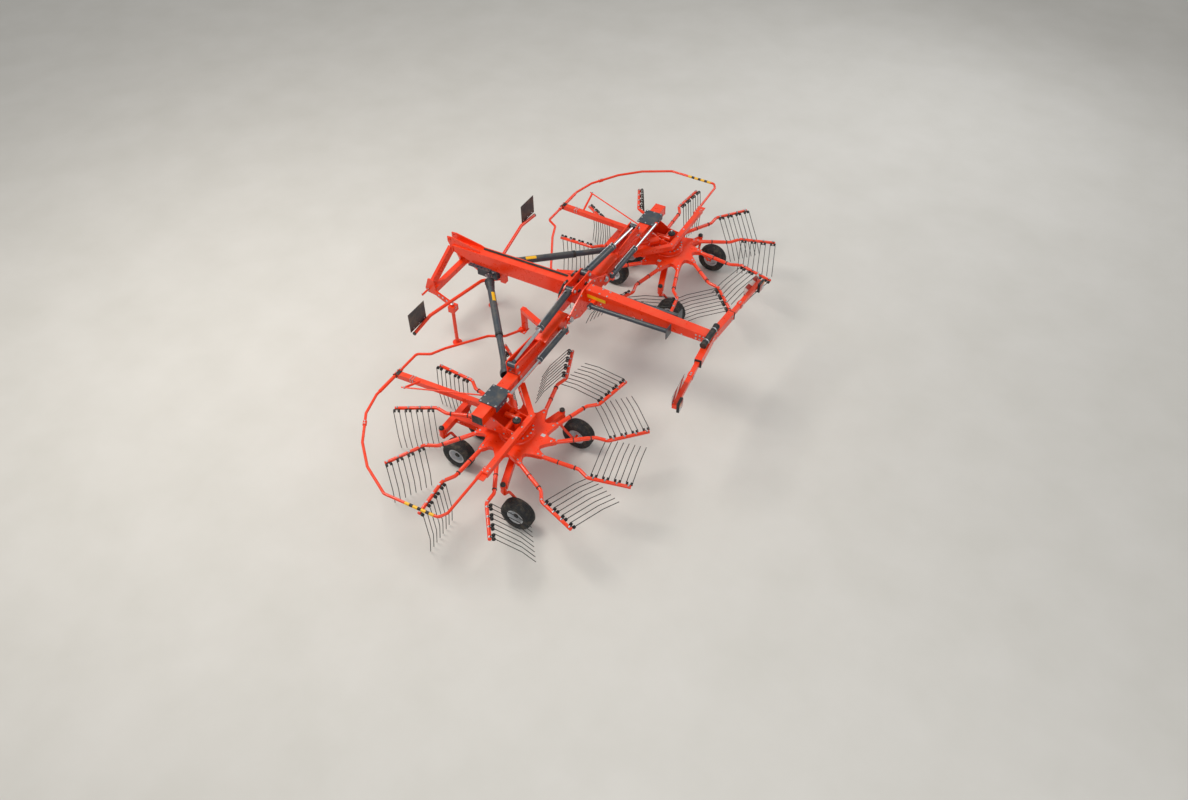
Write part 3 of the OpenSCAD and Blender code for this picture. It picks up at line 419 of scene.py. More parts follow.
# Wheels: implement tyres with five ribs on steel rims.
# Each castor has its pin's X and Y, the wheel's shift sideways and the side that its arm is on.
CASTORS = {
    "front_inner": (900, ROTOR_Y - 280, 20, 1), "front_outer": (900, ROTOR_Y + 280, -20, -1),
    "rear_inner": (-222, ROTOR_Y - 670, -40, 1), "rear_outer": (-222, ROTOR_Y + 670, 40, -1),
}
TRAIL = 200
TYRE_R, TYRE_W, RIM_R = 203.0, 165.0, 102.0
ARM_OFF = TYRE_W / 2 + 34
RIBS, RIB_W, GROOVE_W, GROOVE_D = 5, 15.0, 6.0, 6.0
CROWN = 2.6
SIDEWALL = [
    (RIM_R, -59), (RIM_R + 6, -70), (RIM_R + 12, -75), (RIM_R + 15, -73.5), (RIM_R + 18, -77),
    (138, -81.5), (152, -82.5), (168, -81), (170, -82.2), (173, -81.6), (181, -77.5), (190, -70.5),
    (196.5, -61), (199.5, -54),
]
RIM_PROFILE = [
    (RIM_R - 14, -24), (RIM_R - 12, -60), (RIM_R - 10, -66), (RIM_R + 7, -66), (RIM_R + 8, -63),
    (RIM_R + 1, -52), (RIM_R + 1, -34), (RIM_R - 5, -26), (RIM_R - 5, 26), (RIM_R + 1, 34),
    (RIM_R + 1, 52), (RIM_R + 8, 63), (RIM_R + 7, 66), (RIM_R - 10, 66), (RIM_R - 12, 60),
    (RIM_R - 14, 14), (RIM_R - 18, 4), (RIM_R - 26, 0), (64, 3), (56, 8), (48, 8), (44, 5),
    (36, 5), (36, -14), (48, -15), (66, -20),
]


def tyre_profile():
    """The tyre's cross-section: side wall, ribs and grooves over a round crown, side wall."""
    tread = []
    for i in range(RIBS):
        mid = (i - (RIBS - 1) / 2) * (RIB_W + GROOVE_W)
        edge = RIB_W / 2
        for z, deep in ((-edge - 0.1, GROOVE_D), (-edge, 0.8), (-edge + 1, 0), (edge - 1, 0),
                        (edge, 0.8), (edge + 0.1, GROOVE_D)):
            tread.append((TYRE_R - deep - CROWN * ((mid + z) / 55) ** 2, mid + z))
    return SIDEWALL + tread + [(r, -z) for r, z in reversed(SIDEWALL)]


def wheel(side_name, side, key):
    """Tyre, rim, hub, cap, wheel bolts and valve."""
    x, y, shift, s = CASTORS[key]
    spot = aimed((x - TRAIL, y + shift, TYRE_R), (0, -s, 0))
    w = Shape(RUBBER, side)
    w.lathe(tyre_profile(), spot, 64, closed=True)
    w.use(RIM)
    w.lathe(RIM_PROFILE, spot, 48, closed=True)
    w.lathe([(16, -40), (34, -40), (36, -37), (36, 36), (33, 40), (16, 40)], spot, 32, closed=True)
    w.use(BLACK)
    w.lathe([(0, 54), (20, 53), (29, 49), (32, 43), (32, 38), (0, 38)], spot, 28)
    w.use(ZINC)
    for k in range(5):
        a = 2 * math.pi * k / 5
        w.bolt(spot @ vec(52 * math.cos(a), 52 * math.sin(a), 8), spot.to_3x3() @ vec(0, 0, 1), 17)
    w.lathe([(0, 30), (3.4, 30), (3.4, 10), (0, 10)], spot @ Matrix.Translation((78, 12, -8)), 8)
    name = f"{key}_{side_name}"
    w.done(f"tyre_and_rim_{name}", f"wheel_{name}", "tyre", f"wheel_{name}")


def castor_fittings(side_name, side, key):
    """Cap on the castor's pin, grease nipple and the nut at the end of the axle."""
    x, y, shift, s = CASTORS[key]
    c = Shape(BLACK, side)
    c.lathe([(0, 98), (12, 97), (24, 92), (31, 84), (33, 74), (33, 62), (0, 62)],
            aimed((x, y, CHASSIS_Z), (0, 0, 1)), 28)
    c.use(ZINC)
    hub = vec(x - TRAIL, y + shift, TYRE_R)
    c.bolt(hub + vec(0, s * (ARM_OFF + 16), 0), (0, s, 0), 34)
    c.lathe([(0, 0), (4, 0), (4, 7), (2.5, 12), (0, 12)],
            aimed((x + 31, y, CHASSIS_Z + 76), (1, 0, 0.5)), 8)
    name = f"castor_{key}_{side_name}"
    c.done(f"{name}_cap_and_nut", name, "black")


# Rotor: star-shaped disc, dome and eleven bent arms
ARMS = 11
PHASE = {1: 13.05, -1: 15.29}
LABEL_AT = {1: (-302, -98), -1: (-27, -322)}
ARM_IN, ARM_BUSH = vec(380, -158, 0), vec(925, -84, 0)
ARM_KNEE, ARM_TIP = vec(1070, -140, 0), vec(1560, 0, 0)
ARM_TURN = math.atan2(ARM_BUSH.y - ARM_IN.y, ARM_BUSH.x - ARM_IN.x)
BEARER_R, ARM_TUBE_R = 22.0, 26.0
# One eleventh of the disc's outline, seen from its arm: round the socket and on to the next one
STAR_CORNERS = ((294, -251), (340, -243), (390, -239), (440, -237), (440, -179), (395, -168),
                (362, -148), (346, -118), (343, -85))


def arm_frame(side, i):
    """The place of arm i at the middle of the rotor, with X along the arm's direction."""
    turn = math.radians(PHASE[side] + 360 * i / ARMS)
    return Matrix.Translation((0, ROTOR_Y, ARM_Z)) @ Matrix.Rotation(turn, 4, "Z")


def rotor(side_name, side):
    """Disc, column ring, dome, and each arm with its socket, sleeve, bushes and bolts."""
    r = Shape(RED, side)
    outline = []
    for i in range(ARMS):
        m = arm_frame(side, i) @ Matrix.Rotation(ARM_TURN, 4, "Z")
        outline += [(m @ vec(x, y, 0)).to_2d() for x, y in STAR_CORNERS]
    r.prism(outline, DISC_Z + 1, DISC_Z + 55, None, 9.0, 4)
    centre = aimed((0, ROTOR_Y, 0), (0, 0, 1))
    below = ((60, -39), (143, -39), (149, -33), (150, 2), (60, 2))
    dome = ((60, 52), (216, 52), (215, 58), (214, 66), (208, 73), (198, 77), (186, 79), (184, 76),
            (180, 76), (178, 79.5), (60, 80))
    r.lathe([(radius, DISC_Z + z) for radius, z in below], centre, 64)
    r.lathe([(radius, DISC_Z + z) for radius, z in dome], centre, 96)
    along = ARM_BUSH - ARM_IN
    root = ARM_IN - 0.2 * along
    tip = (ARM_TIP - ARM_KNEE).normalized()
    path = rounded_path([root, ARM_BUSH, ARM_KNEE, ARM_TIP - 6 * tip], 80, 7)
    widths = [BEARER_R] * len(path) + [BEARER_R - 3, BEARER_R - 10]
    for i in range(ARMS):
        r.at = arm_frame(side, i)
        r.use(RED)
        r.tube(path + [ARM_TIP - 2 * tip, ARM_TIP], widths, 16)
        sleeve = [ARM_IN + t * along for t in (-0.2, 0.845, 0.855)]
        r.tube(sleeve, [ARM_TUBE_R, ARM_TUBE_R, ARM_TUBE_R - 2], 18)
        socket = [ARM_IN + t * along for t in (-0.12, 0.02, 0.085, 0.11, 0.115)]
        r.tube(socket, [31, 31, 30, 29, 27], 20)
        r.use(BLACK)
        for t in (0.52, 0.9):
            bush = [ARM_IN + (t + d) * along for d in (-0.012, -0.01, 0.01, 0.012)]
            r.tube(bush, [26.5, 29, 29, 26.5], 18)
        r.use(ZINC)
        for t, height in ((0.05, 29), (0.155, ARM_TUBE_R - 1)):
            r.bolt(ARM_IN + t * along + vec(0, 0, height), (0, 0, 1), 19)
        r.bolt(ARM_KNEE.lerp(ARM_BUSH, 0.12) + vec(0, 0, BEARER_R - 1), (0, 0, 1), 17)
    r.at = Matrix.Identity(4)
    r.use(RIM)
    x, y = LABEL_AT[side]
    r.block((x, ROTOR_Y + y, DISC_Z + 55.6), (52, 42, 1.2), 0.3)
    r.done(f"tine_arm_rotor_{side_name}", f"rotor_{side_name}", "paint", f"rotor_{side_name}")


# Double tines: each is one wire with two coils, clamped to the bearer between them
DOUBLES = 4
TINE_FROM, TINE_TO = 0.13, 0.94
COIL_R, COIL_IN, COIL_OUT, COIL_BESIDE, TINE_Y = 17.0, 12.0, 38.0, 22.3, 35.0
WIRE_R = 4.9
COIL_TURNS = 2.5
DROP = ARM_Z - 16
# On the round, in degrees: the cam starts to lift, holds, starts to let down, and is down again
LIFT_START, LIFT_HOLD, LIFT_END, LIFT_DOWN = 80, 145, 240, 300
LIFT_MAX = 82.0


def cam(angle):
    """How far the cam has turned a bearer, by its place on the round."""
    b = angle % 360
    if b < LIFT_START or b >= LIFT_DOWN:
        return 0.0
    if b < LIFT_HOLD:
        return LIFT_MAX * (b - LIFT_START) / (LIFT_HOLD - LIFT_START)
    return LIFT_MAX if b < LIFT_END else LIFT_MAX * (LIFT_DOWN - b) / (LIFT_DOWN - LIFT_END)


def tine_wire():
    """Half of a double tine, from the clamp through the coil to the tip."""
    turns = int(COIL_TURNS * 12)
    half = [vec(0, -COIL_R - 3, 0)]
    for k in range(turns + 1):
        a = 2 * math.pi * COIL_TURNS * (1 - k / turns)
        x = COIL_IN + (COIL_OUT - COIL_IN) * k / turns
        half.append(vec(x, COIL_R * math.cos(a), COIL_R * math.sin(a)))
    knee, end = vec(TINE_Y, COIL_R + 28, -DROP * 0.62), vec(TINE_Y, COIL_R - 1, -DROP + 1)
    return half + rounded_path([vec(TINE_Y, COIL_R + 3, -22), knee, end], 160, 4)


def tines(side_name, side):
    """The double tines of a rotor, with their clamps and bolts, each turned as the cam has it."""
    t = Shape(SPRING, side)
    bearer = ARM_TIP - ARM_KNEE
    tilt = Matrix.Rotation(math.atan2(bearer.y, bearer.x), 4, "Z")
    half = tine_wire()
    wire = [vec(-p.x, p.y, p.z) for p in reversed(half[1:])] + half
    for i in range(ARMS):
        lift = math.radians(cam(PHASE[side] + 360 * i / ARMS))
        for j in range(DOUBLES):
            spot = ARM_KNEE + bearer * (TINE_FROM + (TINE_TO - TINE_FROM) * j / (DOUBLES - 1))
            on_bearer = arm_frame(side, i) @ Matrix.Translation(spot) @ tilt
            beside = Matrix.Translation((0, BEARER_R + COIL_BESIDE, 0))
            t.at = on_bearer @ beside @ Matrix.Rotation(lift, 4, "X")
            t.use(SPRING).tube(wire, WIRE_R, 6)
            t.at = on_bearer @ Matrix.Rotation(lift - math.pi / 2, 4, "X")
            t.block((0, 0, BEARER_R + 1), (22, 26, 5), 1.2)
            t.use(ZINC).bolt((0, 0, BEARER_R + 3), (0, 0, 1), 17, washer=False)
            t.at = on_bearer
            t.bolt((0, 0, BEARER_R - 1.5), (0, 0, 1), 22)
    t.at = Matrix.Identity(4)
    t.done(f"spring_tines_{side_name}", f"rotor_{side_name}", "tine_steel", f"tines_{side_name}")


# Fittings of the main frame
def holed_plate(shape, place, cells, cell, hole, thick):
    """A strip of square cells, each with a round hole through it."""
    for i in range(cells):
        rings = []
        for square, z in ((True, thick), (False, thick), (False, 0), (True, 0)):
            points = []
            for k in range(24):
                c, s = math.cos(math.pi * k / 12), math.sin(math.pi * k / 12)
                reach = cell / 2 / max(abs(c), abs(s)) if square else hole
                points.append(place @ vec(i * cell + reach * c, reach * s, z))
            rings.append(shape.ring(points))
        shape.loft(rings, closed=True)


def band(shape, a, b, radius, sides=20):
    """A thin collar round a tube, from a to b."""
    a, b = Vector(a), Vector(b)
    edge = (b - a).normalized() * 1.5
    shape.tube([a, a + edge, b - edge, b], [radius - 1.5, radius, radius, radius - 1.5], sides)


def headstock_fittings(side_name, side):
    """Holed strip, top link boss, welds, the lower link's pin ring, stand pin and bolts."""
    h = Shape(RED, side)
    top, foot = vec(2215, 40, 1290), vec(2390, 362.5, 800)
    along = (foot - top).normalized()
    out = vec(0, 0, 1).cross(along).normalized()
    middle = top.lerp(foot, 0.52) + out * 29.5
    holed_plate(h, aimed(middle - along * 92, out, along), 5, 46, 13, 10)
    h.lathe([(13.3, 0), (23, 0), (23, 9), (20, 12), (13.3, 12)],
            aimed((2221, 59, 1430), (0, 1, 0)), 28, closed=True)
    h.weld([(2164, 62, 1352), (2164, 62, 1275)])
    h.weld([(2180, 90, 1262), (2180, 90, 1345)])
    h.weld([(2290, 384, 929), (2402, 384, 929)])
    for x in (1775, 1850, 1925, 2000):
        start, end = [(at, 60, 1363 + (2161 - at) * 0.019) for at in (x, x + 45)]
        h.weld([start, end], 3.0)
    h.use(ZINC)
    h.lathe([(14.2, 0), (22, 0), (23, 3), (23, 12), (14.2, 12)],
            aimed((LINK_X, 400.6, LINK_Z), (0, 1, 0)), 24, closed=True)
    h.tube([(LINK_X, 524, LINK_Z - 24), (LINK_X, 524, LINK_Z + 24)], 4, 8)
    spring_ring = circle((LINK_X, 528, LINK_Z + 7), 17, 14, (0, 0, 1), (1, 0, 0))
    h.tube(spring_ring[:13], 1.8, 6)
    h.tube([(1950, STAND_Y, 636), (2062, STAND_Y, 636)], 7, 10)
    h.tube([(1950, STAND_Y, 640), (1944, STAND_Y, 652), (1944, STAND_Y, 676)], 3.5, 8)
    for x, z in ((2075, 655), (2120, 672), (2180, 700), (2240, 722)):
        h.bolt((x, 413, z), (0, 1, 0), 20)
    h.done(f"headstock_fittings_{side_name}", "frame", "paint")


def tower_fittings(side_name, side):
    """Welds, fold pin heads, cylinder pin heads and the hose block on the centre tower."""
    t = Shape(RED, side)
    for x, way in ((416, 1), (160, -1)):
        face = x + way * 0.5
        t.weld([(face, 395, 1118), (face, 205, 1029)])
        t.weld([(face, 490, 1219), (face, 262, 1328)])
    t.weld([(180, 121, 1135), (396, 121, 1135)])
    t.weld([(180, 121, 1310), (396, 121, 1310)])
    t.use(ZINC)
    for x, way in ((430, 1), (146, -1)):
        t.bolt((x, FOLD_Y, FOLD_Z), (way, 0, 0), 58)
        for dy, dz in ((46, 0), (-46, 0), (0, 46), (0, -46)):
            t.bolt((x - 6 * way, FOLD_Y + dy, FOLD_Z + dz), (way, 0, 0), 15, washer=False)
    for way in (1, -1):
        t.bolt(LIFT_FOOT + vec(70 * way, 0, 0), (way, 0, 0), 40)
    for x, way in ((416, 1), (160, -1)):
        for y, z in ((330, 1235), (300, 1120), (170, 1345)):
            t.bolt((x, y, z), (way, 0, 0), 20)
    t.use(BLACK)
    t.block((290, 85, 1330), (120, 50, 20), 4)
    t.use(ZINC)
    for x in (250, 290, 330):
        t.tube([(x, 85, 1338), (x, 85, 1358), (x, 92, 1366)], [8, 8, 6], 10)
    t.done(f"tower_fittings_{side_name}", "frame", "paint")


def gearbox_fittings(side_name, side):
    """Holed rack beside the front beam, gearbox bolts and the cover ring of its input."""
    g = Shape(DARK, side)
    holed_plate(g, aimed((1600, 108, 1163), (0, 0, 1), (1, 0, 0)), 6, 55, 12, 11)
    for x in (1510, 1640, 1770):
        g.block((x, 98, 1095), (12, 6, 120), 2)
    g.block((1640, 101, 1152), (296, 14, 16), 3)
    g.use(ZINC)
    for x in (1530, 1600, 1680, 1750):
        g.bolt((x, 108, 1152), (0, 1, 0), 18)
    for way in (1, -1):
        g.bolt(DRIVE_FRONT + vec(38 * way, 0, 0), (way, 0, 0), 26, washer=False)
    if side > 0:
        g.use(DARK)
        g.lathe([(18.6, 0), (62, 0), (62, 7), (50, 12), (30, 16), (18.6, 16)],
                aimed((1789.6, 0, 1090), (1, 0, 0)), 36, closed=True)
        g.use(ZINC)
        for spot in circle((1798, 0, 1090), 51, 6, (0, 1, 0), (0, 0, 1))[:6]:
            g.bolt(spot, (1, 0, 0), 13, washer=False)
    g.done(f"gearbox_fittings_{side_name}", "frame", "dark_paint")


def rear_fittings(side_name, side):
    """Blank yellow film, bolts and the end plate on the rear beam."""
    r = Shape(YELLOW, side)

    def top(x):
        """The height of the sloping beam's upper face."""
        return BEAM_TOP - (160 - x) * 87 / 1661

    front, back, upper, lower = 130, -125, 62, 110
    outline = [(front, top(front) - upper), (back, top(back) - upper),
               (back, top(back) - lower), (front, top(front) - lower)]
    on_face = Matrix.Translation((0, 68.2, 0)) @ Matrix.Rotation(math.pi / 2, 4, "X")
    r.prism(outline, -1.2, 0, on_face)
    r.use(ZINC)
    for x, y in ((-32, 50), (-137, 46), (110, 50)):
        r.bolt((x, y, top(x) - 1), (0, 0, 1), 20)
    for x in (100, -60, -640, -1180):
        r.bolt((x, 67, top(x) - 150 + abs(x) * 0.03), (0, 1, 0), 18)
    r.bolt((40, 200, 1216), (0, 1, 0), 34)
    r.use(RED)
    r.weld([(12, 126.5, 1247), (12, 126.5, 1186)])
    r.block((-1420, 69, 1235), (150, 6, 92), 2)
    r.use(ZINC)
    for x in (-1470, -1420, -1370):
        r.bolt((x, 72, 1262), (0, 1, 0), 20)
        r.bolt((x, 72, 1208), (0, 1, 0), 20)
    r.done(f"rear_beam_fittings_{side_name}", "frame", "paint")


def light_bar_fittings(side_name, side):
    """Bolts, lamp with its lenses and cable, and on one side the document tube's caps and bands."""
    b = Shape(ZINC, side)
    b.at = Matrix.Translation((BAR_X, 0, BAR_Z)) @ Matrix.Rotation(math.radians(BAR_SWEEP), 4, "Z")
    for y in (715, 745):
        b.bolt((-2, y, 34), (0, 0, 1), 17)
        b.bolt((-36, y, 0), (-1, 0, 0), 17)
    for y in (910, 1250):
        for z in (30, 128):
            b.bolt((26.2, y, z), (-1, 0, 0), 14)
    for y in (60, 440):
        b.bolt((-45, y, 30), (-1, 0, 0), 18)
        b.bolt((-45, y, -30), (-1, 0, 0), 18)
    b.use(BLACK).block((-8, 500, 0), (88, 10, 114), 3)
    b.block((-61, 1215, -10), (4, 124, 124), 1.5)
    b.use(LENS).block((-64, 1187, -10), (5, 62, 112), 2)
    b.use(AMBER).block((-64, 1247, 18), (5, 52, 54), 2)
    b.use(RIM).block((-64, 1247, -38), (5, 52, 52), 2)
    cable = [(-40, 1150, -40), (-34, 1120, -44), (-20, 1080, -33), (0, 900, -33), (0, 520, -33)]
    b.use(BLACK).tube(cable, 5, 8)
    b.at = Matrix.Identity(4)
    if side > 0:
        for y in (-121, 262):
            b.lathe([(0, 0), (40, 0), (41.5, 3), (41.5, 26), (38.5, 30), (0, 30)],
                    aimed((TUBE_X, y, TUBE_Z), (0, 1, 0)), 32)
        b.use(ZINC)
        for y in (-40, 190):
            band(b, (TUBE_X, y, TUBE_Z), (TUBE_X, y + 16, TUBE_Z), 39.6, 28)
            b.bolt((TUBE_X - 39, y + 8, 1325), (-1, 0, 0), 12, washer=False)
    b.done(f"light_bar_fittings_{side_name}", "frame", "black")


def front_board_fittings(side_name, side):
    """Board bolts, the end cap of its tube, the post's bolts and the hose clips."""
    f = Shape(ZINC, side)
    for y in (1190, 1300, 1410):
        f.bolt((1871.9, y, 1060), (-1, 0, 0), 14)
    f.use(BLACK)
    f.lathe([(0, 0), (23, 0), (24.6, 3), (24.6, 16), (23.4, 18), (0, 18)],
            aimed((1849, 1437, 1001.5), (0, 1, -0.113)), 24)
    f.use(RED)
    f.weld([(1473, 30, 1012), (1477, 36, 994)])
    if side > 0:
        f.use(ZINC)
        for y in (-22, 22):
            f.bolt((1476, y, 1100), (1, 0, 0), 18)
            f.bolt((1476, y, 1050), (1, 0, 0), 18)
    f.use(ZINC)
    for y in (100, 124):
        band(f, (HOSE_X, y, HOSE_Z), (HOSE_X, y + 8, HOSE_Z), 14.6, 18)
    f.done(f"front_board_fittings_{side_name}", "frame", "paint")


# Fittings of the stands
def stand_fittings(side_name, side):
    """Cap, cross pin and foot weld of the front stand, and the rear stand's pins, bolts and weld."""
    f = Shape(ZINC, side)
    f.lathe([(0, 689), (23, 689), (24.6, 692), (24.6, 700), (20, 704), (8, 706), (0, 706)],
            aimed((STAND_X, STAND_Y, 0), (0, 0, 1)), 28)
    f.tube([(STAND_X, STAND_Y - 22, 697), (STAND_X, STAND_Y + 22, 697)], 5, 10)
    f.use(RED)
    f.weld(circle((STAND_X, STAND_Y, 13.2), 27, 24), 2.6)
    f.done(f"front_stand_fittings_{side_name}", f"front_stand_{side_name}", "steel")
    r = Shape(ZINC, side)

    def at(s):
        """A place on the folded stand's middle line, s from its pivot."""
        return vec(40 - 0.99966 * s, 160, 1216 + 0.0262 * s)

    for s in (180, 620):
        p = at(s)
        r.tube([p + vec(0, 0, -38), p + vec(0, 0, 46)], 6.5, 10)
        clip = [p + vec(dx, 0, dz) for dx, dz in ((0, 42), (14, 54), (26, 50), (34, 34))]
        r.tube(clip, 2.2, 6)
    foot = at(1078)
    for dy in (-48, 48):
        for dz in (-48, 48):
            r.bolt(foot + vec(1, dy, dz), (1, 0, 0), 16)
    r.use(DARK)
    r.weld(circle(at(1077), 31, 24, (0, 1, 0), (0, 0, 1)), 3)
    band(r, at(40), at(58), 32.5, 28)
    r.done(f"rear_stand_fittings_{side_name}", f"rear_stand_{side_name}", "steel")


# Fittings of a boom and its two cylinders
def cylinder_fittings(shape, start, way, length, radius, up):
    """Port blocks, a steel pipe between them and a gland ring, on a barrel of the given radius."""
    start, way = Vector(start), Vector(way).normalized()
    side_way = way.cross(up).normalized()
    shape.use(DARK)
    ports = [start + way * s + up * (radius + 7) for s in (96, length - 26)]
    for p in ports:
        shape.block((0, 0, 0), (30, 26, 22), 3, aimed(p, up, way))
    shape.use(ZINC)
    a, b = [p + side_way * 4 + up * 8 for p in ports]
    lift = up * 14
    shape.tube(rounded_path([a, a + lift, b + lift, b], 12, 5), 5.2, 10)
    for p in (a, b):
        shape.lathe([(0, 0), (9, 0), (9, 9), (0, 9)], aimed(p, up), 6)
    for s in (length - 52, length - 3):
        p = start + way * s
        band(shape, p, p + way * 6, radius + 4, 36)


def boom_fittings(side_name, side):
    """Bolts, welds, the width cylinder's fittings, the lift cylinder's, and its rod's eye."""
    b = Shape(ZINC, side)
    for way in (1, -1):
        b.bolt(LIFT_EYE + vec(75 * way, 0, 0), (way, 0, 0), 34)
    for x in (236, 350):
        b.bolt((x, 1556, 1139), (0, 0, 1), 22)
        b.bolt((x, 1530, 1139), (0, 0, 1), 18)
        b.bolt((x, 1556, 981), (0, 0, -1), 22)
    for z in (1018, 1102):
        b.bolt((204, 1554, z), (-1, 0, 0), 22)
        b.bolt((382, 1554, z), (1, 0, 0), 22)
    for x, y in ((840, 416), (924, 416), (840, 500), (924, 500)):
        b.bolt((x, y, 709), (0, 0, 1), 18)
    for x in (152, 196):
        b.bolt((x, 592, 1106), (0, 0, 1), 14)
    b.lathe([(12.5, 0), (22, 0), (22, 5), (12.5, 5)],
            aimed(WIDTH_FOOT + vec(0, 0, 27.5), (0, 0, 1)), 24, closed=True)
    b.tube([WIDTH_FOOT + vec(0, way * 18, 35) for way in (-1, 1)], 3, 8)
    cylinder_fittings(b, WIDTH_FOOT, (0, 1, 0), 660, 36, vec(0, 0, 1))
    b.use(RED)
    for x in (205, 381):
        b.weld([(x, 700, 1140), (x, 975, 1140)])
        b.weld([(x, 555, 980.5), (x, 640, 980.5)])
    for x in (242, 256, 368, 382):
        b.weld([(x, 990, 1140), (x, 1570, 1140)], 2.8, 9)
    b.weld([(383, 610, 1056), (383, 668, 1056)])
    b.weld([(832, 408, 1026), (832, 468, 1026)])
    b.use(BLACK)
    b.block((293, 1584.6, 1141), (150, 5, 5), 1)
    b.tube(rounded_path([(470, 590, 995), (520, 570, 1002), (832, 452, 1001)], 30, 5), 7, 10)
    b.done(f"boom_fittings_{side_name}", f"boom_{side_name}", "steel")
    c = Shape(ZINC, side)
    way = (LIFT_EYE - LIFT_FOOT).normalized()
    cylinder_fittings(c, LIFT_FOOT, way, 760, 45, vec(0, -way.z, way.y))
    c.done(f"lift_cylinder_fittings_{side_name}", f"lift_barrel_{side_name}", "steel")
    e = Shape(DARK, side)
    e.lathe([(32.2, -54), (33.6, -52.5), (33.6, 52.5), (32.2, 54)],
            aimed(LIFT_EYE, (1, 0, 0)), 40, closed=True)
    e.tube([LIFT_EYE - way * s for s in (70, 66, 40, 31)], [23.4, 27, 29, 31], 24)
    e.done(f"lift_rod_eye_{side_name}", f"lift_rod_{side_name}", "dark_paint")


# Fittings of a sliding tube, its rotor head, the guard and the undercarriage
def slide_fittings(side_name, side):
    """End cover of the sliding tube, gear cap, the rotor head's bolts and welds, drive neck."""
    f = Shape(BLACK, side)
    f.block((SLIDE_X, 2364.8, SLIDE_Z), (142, 3, 122), 1.2)
    f.block((SLIDE_X, 2367, SLIDE_Z), (112, 4, 92), 1.2)
    cap = aimed(GEAR_CAP, (0, 0, 1))
    f.lathe([(0, 0), (46, 0), (50, 4), (50, 22), (44, 30), (24, 34), (0, 34)], cap, 36)
    for k in range(12):
        turned = cap @ Matrix.Rotation(2 * math.pi * k / 12, 4, "Z")
        f.block((50, 0, 12), (5, 8, 18), 1, turned)
    f.use(ZINC)
    f.tube([GEAR_CAP + vec(0, 0, 32), GEAR_CAP + vec(0, 0, 62)], 9, 14)
    f.bolt(GEAR_CAP + vec(0, 0, 60), (0, 0, 1), 24)
    head_bolts = ((-60, 800), (-60, 860), (60, 800), (180, 810), (330, 800), (180, 960), (330, 965))
    for y, way in ((ROTOR_Y - 126, -1), (ROTOR_Y + 176, 1)):
        for x, z in head_bolts:
            f.bolt((x, y, z), (0, way, 0), 19)
    for k in range(7):
        a = math.radians(126 + 18 * k)
        f.bolt((195 * math.cos(a), ROTOR_Y + 195 * math.sin(a), DRUM_Z + 52), (0, 0, 1), 20)
    for x in (180, 282, 385):
        for y in (1862, 2138):
            f.bolt((x, y, 1137), (0, 0, 1), 18)
    for y in (1955, 2045):
        f.bolt((385, y, 1137), (0, 0, 1), 18)
    for y in (1950, 2010, 2070):
        f.bolt((160, y, 1085), (-1, 0, 0), 16)
    f.use(RED)
    f.block((SLIDE_X, 2358, SLIDE_Z), (158, 8, 138), 2)
    for y in (ROTOR_Y - 114, ROTOR_Y + 164):
        inner = y + (1 if y < ROTOR_Y else -1)
        f.weld([(80, inner, 783), (355, inner, 783)])
    f.weld([(219, 1899, 1101), (219, 1919, 1101)])
    base = vec(0, ROTOR_Y, HOOP_Z + 30)
    aim = (DRIVE_REAR - base).normalized()
    neck = [base + aim * s for s in (296, 299, 306, 314)]
    f.tube(neck, [54, 46, 36, 31], 28)
    f.use(ZINC)
    across = aim.cross(vec(0, 0, 1)).normalized()
    for spot in circle(base + aim * 300, 45, 6, across, aim.cross(across))[:6]:
        f.bolt(spot, aim, 14, washer=False)
    f.use(BLACK)
    band(f, base + aim * 560, base + aim * 600, 33, 28)
    f.done(f"slide_fittings_{side_name}", f"slide_{side_name}", "steel")


